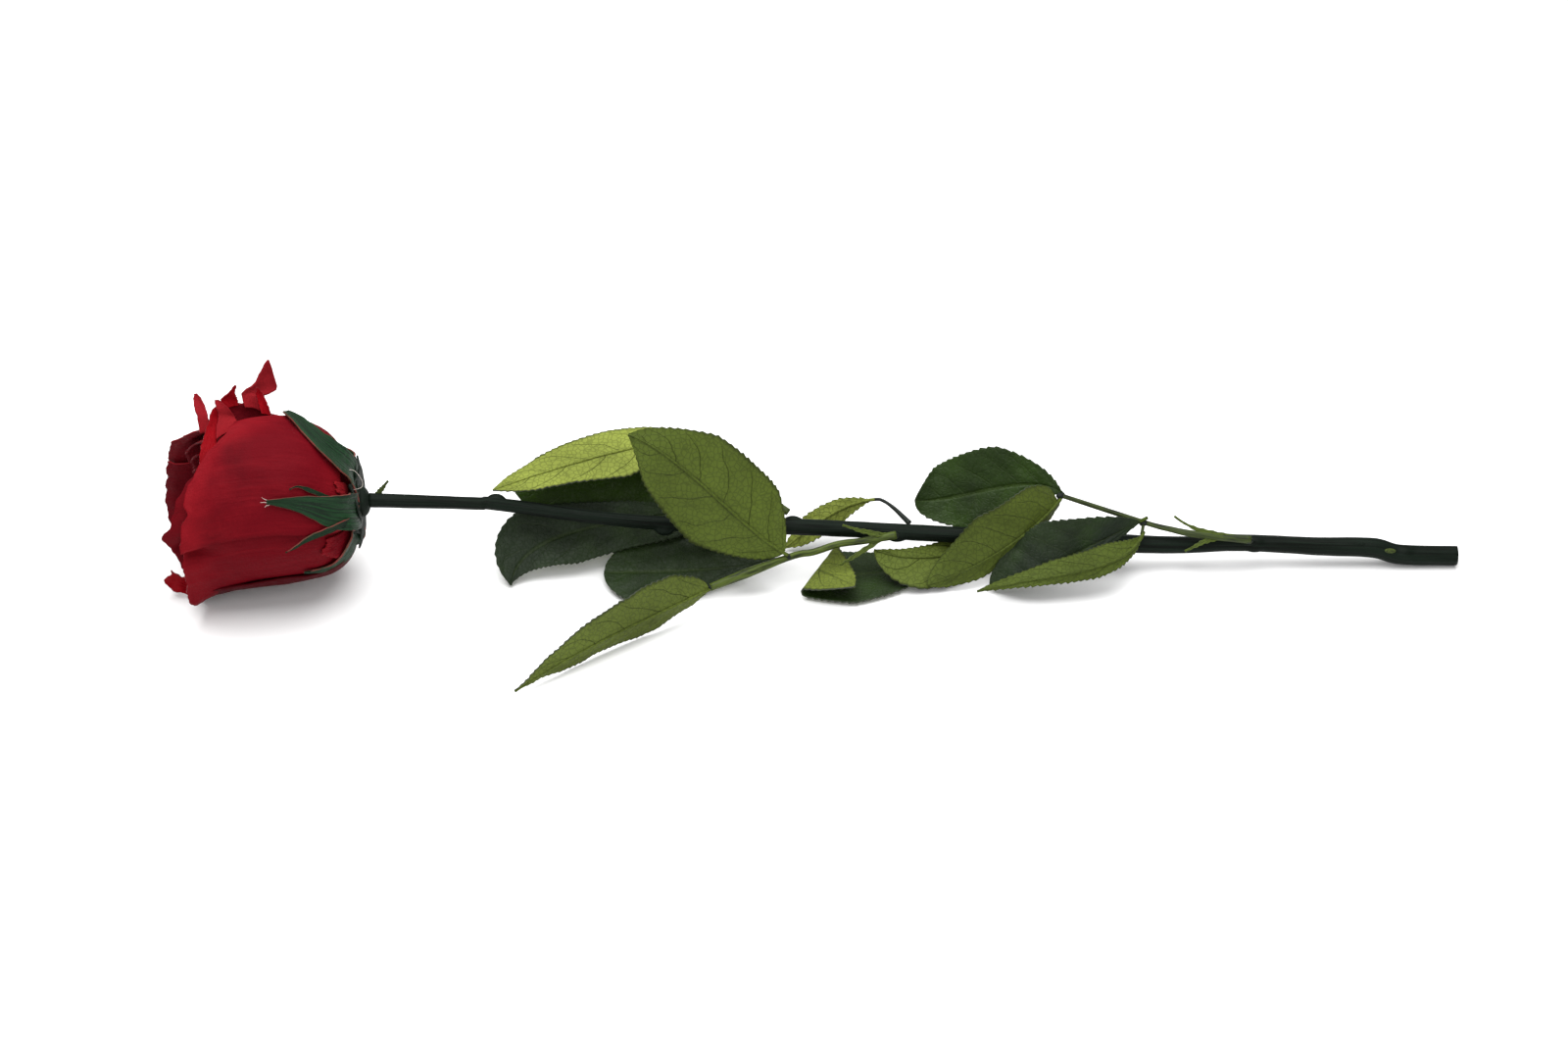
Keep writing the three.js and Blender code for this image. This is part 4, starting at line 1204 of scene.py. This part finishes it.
def petal_materials(colours):
    """Finishes 0 to 5 of the petals: inner, darkened a little by painted shade; outer; rim; thin, with the
    painted glow of light shining through; pale; and painted shade, a darker copy for a petal that lies in
    shade.
    """
    return [
        petal_material("petal_inner", colours, depth=0.35, pale_rim=0.05),
        petal_material("petal_outer", colours),
        clouded_material(
            "petal_rim", colours.petal, colours.petal_base, scale=200.0, contrast=1.5, roughness=0.6,
            specular=0.1,
        ),
        lit_petal_material(colours),
        petal_material("petal_pale", colours, glow=0.75),
        petal_material("petal_painted_shade", colours, depth=0.9, pale_rim=0.0),
    ]


def petal_material(name, colours, depth=0.0, glow=0.0, pale_rim=0.28):
    """Velvety crimson with lighter streaks and broad lighter patches of painted light, paler at its root
    and its rim; depth darkens it toward the shade colour as painted shade.
    """
    material, tree, sockets = new_material(name)
    along = surface_parts(tree)[1]
    clouds = mottle(tree, scale=40.0, contrast=2.0)
    streaks = streaky(tree, count=45.0, length=5.0, contrast=1.3)
    wide = streaky(tree, count=9.0, length=1.5, contrast=1.6)
    base = blend(tree, ramp(tree, clouds, -0.5, 0.6), colours.petal_shade, colours.petal)
    fresh = blend(tree, glow, base, colours.petal_pale)
    lines = times(tree, ramp(tree, times(tree, streaks, wide), 0.2, 0.5), 0.12)
    # Broad lighter patches are painted light, standing in for the soft light and shade of the petal's
    # undulations
    painted_light_patches = ramp(tree, mottle(tree, scale=26.0, contrast=2.0), 0.5, 1.0)
    streaks_and_painted_light = times_plus(tree, painted_light_patches, 0.3, lines)
    edge = times_plus(tree, ramp(tree, along, *RIM_BAND), pale_rim, streaks_and_painted_light)
    root = times_plus(tree, ramp(tree, along, *ROOT_BAND, start=1.0, end=0.0), 0.4, edge)
    lined = blend(tree, root, fresh, colours.petal_base)
    # Painted shade: depth darkens the colour toward the shade colour, a little on inner faces and much on a
    # petal that lies in shade
    painted_shade_mix = blend(tree, depth, lined, colours.petal_shade)
    coat(tree, sockets, painted_shade_mix, times_plus(tree, clouds, 0.15, 0.5), specular=0.03)
    fine = mottle(tree, scale=1100.0, contrast=1.0)
    height = times_plus(tree, fine, 0.4, times(tree, streaks, 0.5))
    raise_relief(tree, sockets, height, distance=0.0006, strength=0.7)
    return material


def lit_petal_material(colours):
    """Brighter red painted on thin torn petals as the glow of light shining through them, with soft
    lengthwise relief.
    """
    material, tree, sockets = new_material("petal_painted_glow")
    share = times(tree, mottle(tree, scale=120.0, contrast=1.6), 0.5)
    tint = blend(tree, share, colours.petal_lit, colours.petal)
    coat(tree, sockets, tint, roughness=0.55, specular=0.05)
    raise_relief(tree, sockets, streaky(tree, count=14.0, length=3.0, contrast=1.4), distance=0.0003)
    return material


def sepal_materials(colours):
    """Finishes 0 to 4 of the calyx: both faces, the rim, the dark dry blades and the fibres."""
    face = sepal_material(colours)
    rim = clouded_material(
        "sepal_rim", colours.sepal, colours.petal_base, scale=400.0, contrast=2.0, roughness=0.7
    )
    dark = clouded_material(
        "sepal_dark", colours.stem_shade, colours.sepal_shade, scale=180.0, contrast=2.0, roughness=0.7,
        specular=0.15, relief=0.0004,
    )
    fibre = clouded_material("fibre", *FIBRE_COLOURS, scale=900.0, contrast=1.5, roughness=0.8)
    return [face, face, rim, dark, fibre]


def sepal_material(colours):
    """Streaked green, darker at the root."""
    material, tree, sockets = new_material("sepal_face")
    streaks = streaky(tree, count=16.0, length=2.0, contrast=2.0)
    clouds = mottle(tree, scale=150.0, contrast=1.4)
    base = blend(tree, ramp(tree, streaks, 0.2, 0.8), colours.sepal_shade, colours.sepal)
    root = ramp(tree, surface_parts(tree)[1], *SEPAL_BAND, start=0.8, end=0.0)
    rooted = blend(tree, root, base, colours.sepal_shade)
    coat(tree, sockets, rooted, times_plus(tree, clouds, 0.25, 0.45), specular=0.15)
    raise_relief(tree, sockets, streaks, distance=0.0004)
    return material


def leaf_materials(colours):
    """Finishes 0 to 2 of a leaflet: upper face, under face and rim."""
    rim = clouded_material(
        "leaf_rim", colours.leaf_vein, colours.leaf_upper, scale=300.0, contrast=1.5, roughness=0.6
    )
    return [leaf_upper_material(colours), leaf_under_material(colours), rim]


def leaf_upper_material(colours):
    """Dark upper face with a greyish gloss, its veins a little lighter and sunk."""
    material, tree, sockets = new_material("leaf_upper")
    veins = use(tree, "Leaf veins", width=0.05)
    net = use(tree, "Vein net", scale=650.0, width=0.14)["Mask"]
    clouds = mottle(tree, scale=60.0, contrast=2.0)
    base = blend(tree, tone_of(tree), colours.leaf_upper, colours.leaf_green)
    wide = ramp(tree, mottle(tree, scale=28.0, contrast=2.0), 0.45, 0.9)
    fresh = blend(tree, times(tree, wide, 0.35), base, colours.leaf_green)
    patchy = blend(tree, times(tree, clouds, 0.75), fresh, colours.stem_shade)
    lines = maths(tree, "MAXIMUM", veins["Midrib"], times(tree, veins["Veins"], 0.4))
    veined = blend(tree, times(tree, lines, 0.12), patchy, colours.leaf_under)
    coat(tree, sockets, veined, times_plus(tree, clouds, 0.3, 0.3), specular=0.14)
    relief = times_plus(tree, net, -0.35, times(tree, lines, -1.0))
    raise_relief(tree, sockets, times_plus(tree, clouds, 3.0, relief), distance=0.00025)
    return material


def leaf_under_material(colours):
    """Light under face with a dark net of veins and a dark line along its margin."""
    material, tree, sockets = new_material("leaf_under")
    veins = use(tree, "Leaf veins", width=0.026)
    net = use(tree, "Vein net", scale=560.0, width=0.12)["Mask"]
    clouds = mottle(tree, scale=35.0, contrast=2.4)
    tint = blend(tree, tone_of(tree), colours.leaf_under, colours.leaf_pale)
    lines = ((veins["Veins"], 0.55), (veins["Midrib"], 0.4), (veins["Margin"], 0.7))
    darker = ((clouds, 0.5), (net, 0.38), *lines)
    for mask, strength in darker:
        tint = blend(tree, times(tree, mask, strength), tint, colours.leaf_vein)
    coat(tree, sockets, tint, times_plus(tree, clouds, 0.15, 0.55), specular=0.12)
    relief = times_plus(tree, net, 0.35, veins["Veins"])
    raise_relief(tree, sockets, relief, distance=0.00025)
    return material


def stem_materials(colours):
    """Finishes 0 to 2 of the stem: bark, small blades and the cut end."""
    cut = clouded_material(
        "stem_cut", colours.stem, colours.leaf_under, scale=900.0, contrast=2.0, roughness=0.8
    )
    return [bark_material(colours), stalk_material(colours), cut]


def bark_material(colours):
    """Dark green bark with darker streaks."""
    material, tree, sockets = new_material("stem_bark")
    streaks = streaky(tree, count=22.0, length=9.0, contrast=2.2)
    clouds = mottle(tree, scale=35.0, contrast=1.2)
    share = times_plus(tree, clouds, 0.5, times(tree, streaks, 0.75))
    tint = blend(tree, ramp(tree, share, 0.3, 0.9), colours.stem_shade, colours.stem)
    coat(tree, sockets, tint, times_plus(tree, clouds, 0.25, 0.35), specular=0.06)
    raise_relief(tree, sockets, streaks, distance=0.0003, strength=0.7)
    return material


def stalk_material(colours):
    """Streaked green of the leaf stalks, made once for all of them."""
    material = bpy.data.materials.get("stalk_blade")
    if material:
        return material
    material, tree, sockets = new_material("stalk_blade")
    streaks = streaky(tree, count=8.0, length=8.0, contrast=1.6)
    fresh = blend(tree, tone_of(tree), colours.stem, colours.stalk)
    tint = blend(tree, ramp(tree, streaks, 0.1, 0.7), colours.stem_shade, fresh)
    coat(tree, sockets, tint, roughness=0.5, specular=0.2)
    raise_relief(tree, sockets, streaks, distance=0.0002)
    return material


# Operators
class ROSE_OT_stage(bpy.types.Operator):
    """Make the pale floor, the soft studio light and the camera"""

    bl_idname = "rose.stage"
    bl_label = "Stage"

    def execute(self, context):
        build_groups()
        scene = context.scene
        camera = bpy.data.cameras.new("camera")
        camera.lens = 70
        camera.sensor_width = 36
        holder = bpy.data.objects.new("camera", camera)
        holder.location = (-0.0108, -0.8395, 0.6209)
        holder.rotation_euler = (math.radians(55), 0, 0)
        scene.collection.objects.link(holder)
        scene.camera = holder
        self.make_floor(scene)
        self.make_light(scene, "overhead", (-0.1, 0.08, 0.95), math.radians(-5), size=1.3, power=18.5)
        self.make_light(scene, "front", (0, -1.0, 0.75), math.radians(52), size=0.9, power=5.0)
        world = bpy.data.worlds.new("studio")
        world.use_nodes = True
        background = world.node_tree.nodes["Background"].inputs
        background["Color"].default_value = (1, 1, 1, 1)
        background["Strength"].default_value = 0.4
        scene.world = world
        scene.view_settings.view_transform = "Standard"
        return {"FINISHED"}

    def make_floor(self, scene):
        shape = bmesh.new()
        bmesh.ops.create_grid(shape, x_segments=1, y_segments=1, size=3)
        mesh = bpy.data.meshes.new("floor")
        shape.to_mesh(mesh)
        shape.free()
        card = tuple(scene.rose_colours.floor)
        brighter = tuple(part * 1.02 for part in card)
        material = clouded_material(
            "floor_card", card, brighter, scale=2.0, contrast=0.3, roughness=0.9, specular=0.1
        )
        mesh.materials.append(material)
        floor = bpy.data.objects.new("floor", mesh)
        scene.collection.objects.link(floor)

    def make_light(self, scene, name, place, tilt, size, power):
        light = bpy.data.lights.new(name, "AREA")
        light.shape = "DISK"
        light.size = size
        light.energy = power
        holder = bpy.data.objects.new(name, light)
        holder.location = place
        holder.rotation_euler = (tilt, 0, 0)
        scene.collection.objects.link(holder)


class ROSE_OT_bloom(bpy.types.Operator):
    """Build the layered petals, the torn tips and the core of the bloom"""

    bl_idname = "rose.bloom"
    bl_label = "Bloom"

    def execute(self, context):
        materials = petal_materials(context.scene.rose_colours)
        piece("bloom_petals", bloom_shapes(context.scene.rose_sizes), "bloom", materials)
        return {"FINISHED"}


class ROSE_OT_calyx(bpy.types.Operator):
    """Build the sepals, their side lobes and the hip"""

    bl_idname = "rose.calyx"
    bl_label = "Calyx"

    def execute(self, context):
        materials = sepal_materials(context.scene.rose_colours)
        piece("calyx_sepals", calyx_shapes(), "calyx", materials)
        return {"FINISHED"}


class ROSE_OT_stem(bpy.types.Operator):
    """Build the stem with its knots, ridges and cut end"""

    bl_idname = "rose.stem"
    bl_label = "Stem"

    def execute(self, context):
        materials = stem_materials(context.scene.rose_colours)
        piece("stem_rod", stem_shapes(), "stem", materials)
        return {"FINISHED"}


class ROSE_OT_stalks(bpy.types.Operator):
    """Build the leaf stalks with their side stalks and small blades"""

    bl_idname = "rose.stalks"
    bl_label = "Leaf stalks"

    def execute(self, context):
        material = stalk_material(context.scene.rose_colours)
        for node, stalk in STALKS.items():
            piece(f"{node}_fine", stalk_shapes(stalk), node, [material, material])
        return {"FINISHED"}


class ROSE_OT_leaflets(bpy.types.Operator):
    """Build the toothed and veined leaflets"""

    bl_idname = "rose.leaflets"
    bl_label = "Leaflets"

    def execute(self, context):
        sizes = context.scene.rose_sizes
        materials = leaf_materials(context.scene.rose_colours)
        for node, leaf in LEAFLETS.items():
            piece(f"{node}_fine", leaflet_shapes(leaf, sizes), node, materials)
        return {"FINISHED"}


class ROSE_PT_panel(bpy.types.Panel):
    bl_idname = "ROSE_PT_panel"
    bl_label = "Preserved rose"
    bl_space_type = "VIEW_3D"
    bl_region_type = "UI"
    bl_category = "Rose"

    def draw(self, context):
        for owner in (context.scene.rose_sizes, context.scene.rose_colours):
            for name in owner.__annotations__:
                self.layout.prop(owner, name)
        for step in STEPS:
            self.layout.operator(step.bl_idname)


STEPS = (ROSE_OT_stage, ROSE_OT_bloom, ROSE_OT_calyx, ROSE_OT_stem, ROSE_OT_stalks, ROSE_OT_leaflets)
CLASSES = (RoseSizes, RoseColours, *STEPS, ROSE_PT_panel)


def register():
    for entry in CLASSES:
        bpy.utils.register_class(entry)
    bpy.types.Scene.rose_sizes = PointerProperty(type=RoseSizes)
    bpy.types.Scene.rose_colours = PointerProperty(type=RoseColours)


def unregister():
    del bpy.types.Scene.rose_colours
    del bpy.types.Scene.rose_sizes
    for entry in reversed(CLASSES):
        bpy.utils.unregister_class(entry)


def main():
    register()
    bpy.ops.rose.stage()
    bpy.ops.rose.bloom()
    bpy.ops.rose.calyx()
    bpy.ops.rose.stem()
    bpy.ops.rose.stalks()
    bpy.ops.rose.leaflets()


if __name__ == "__main__":
    main()
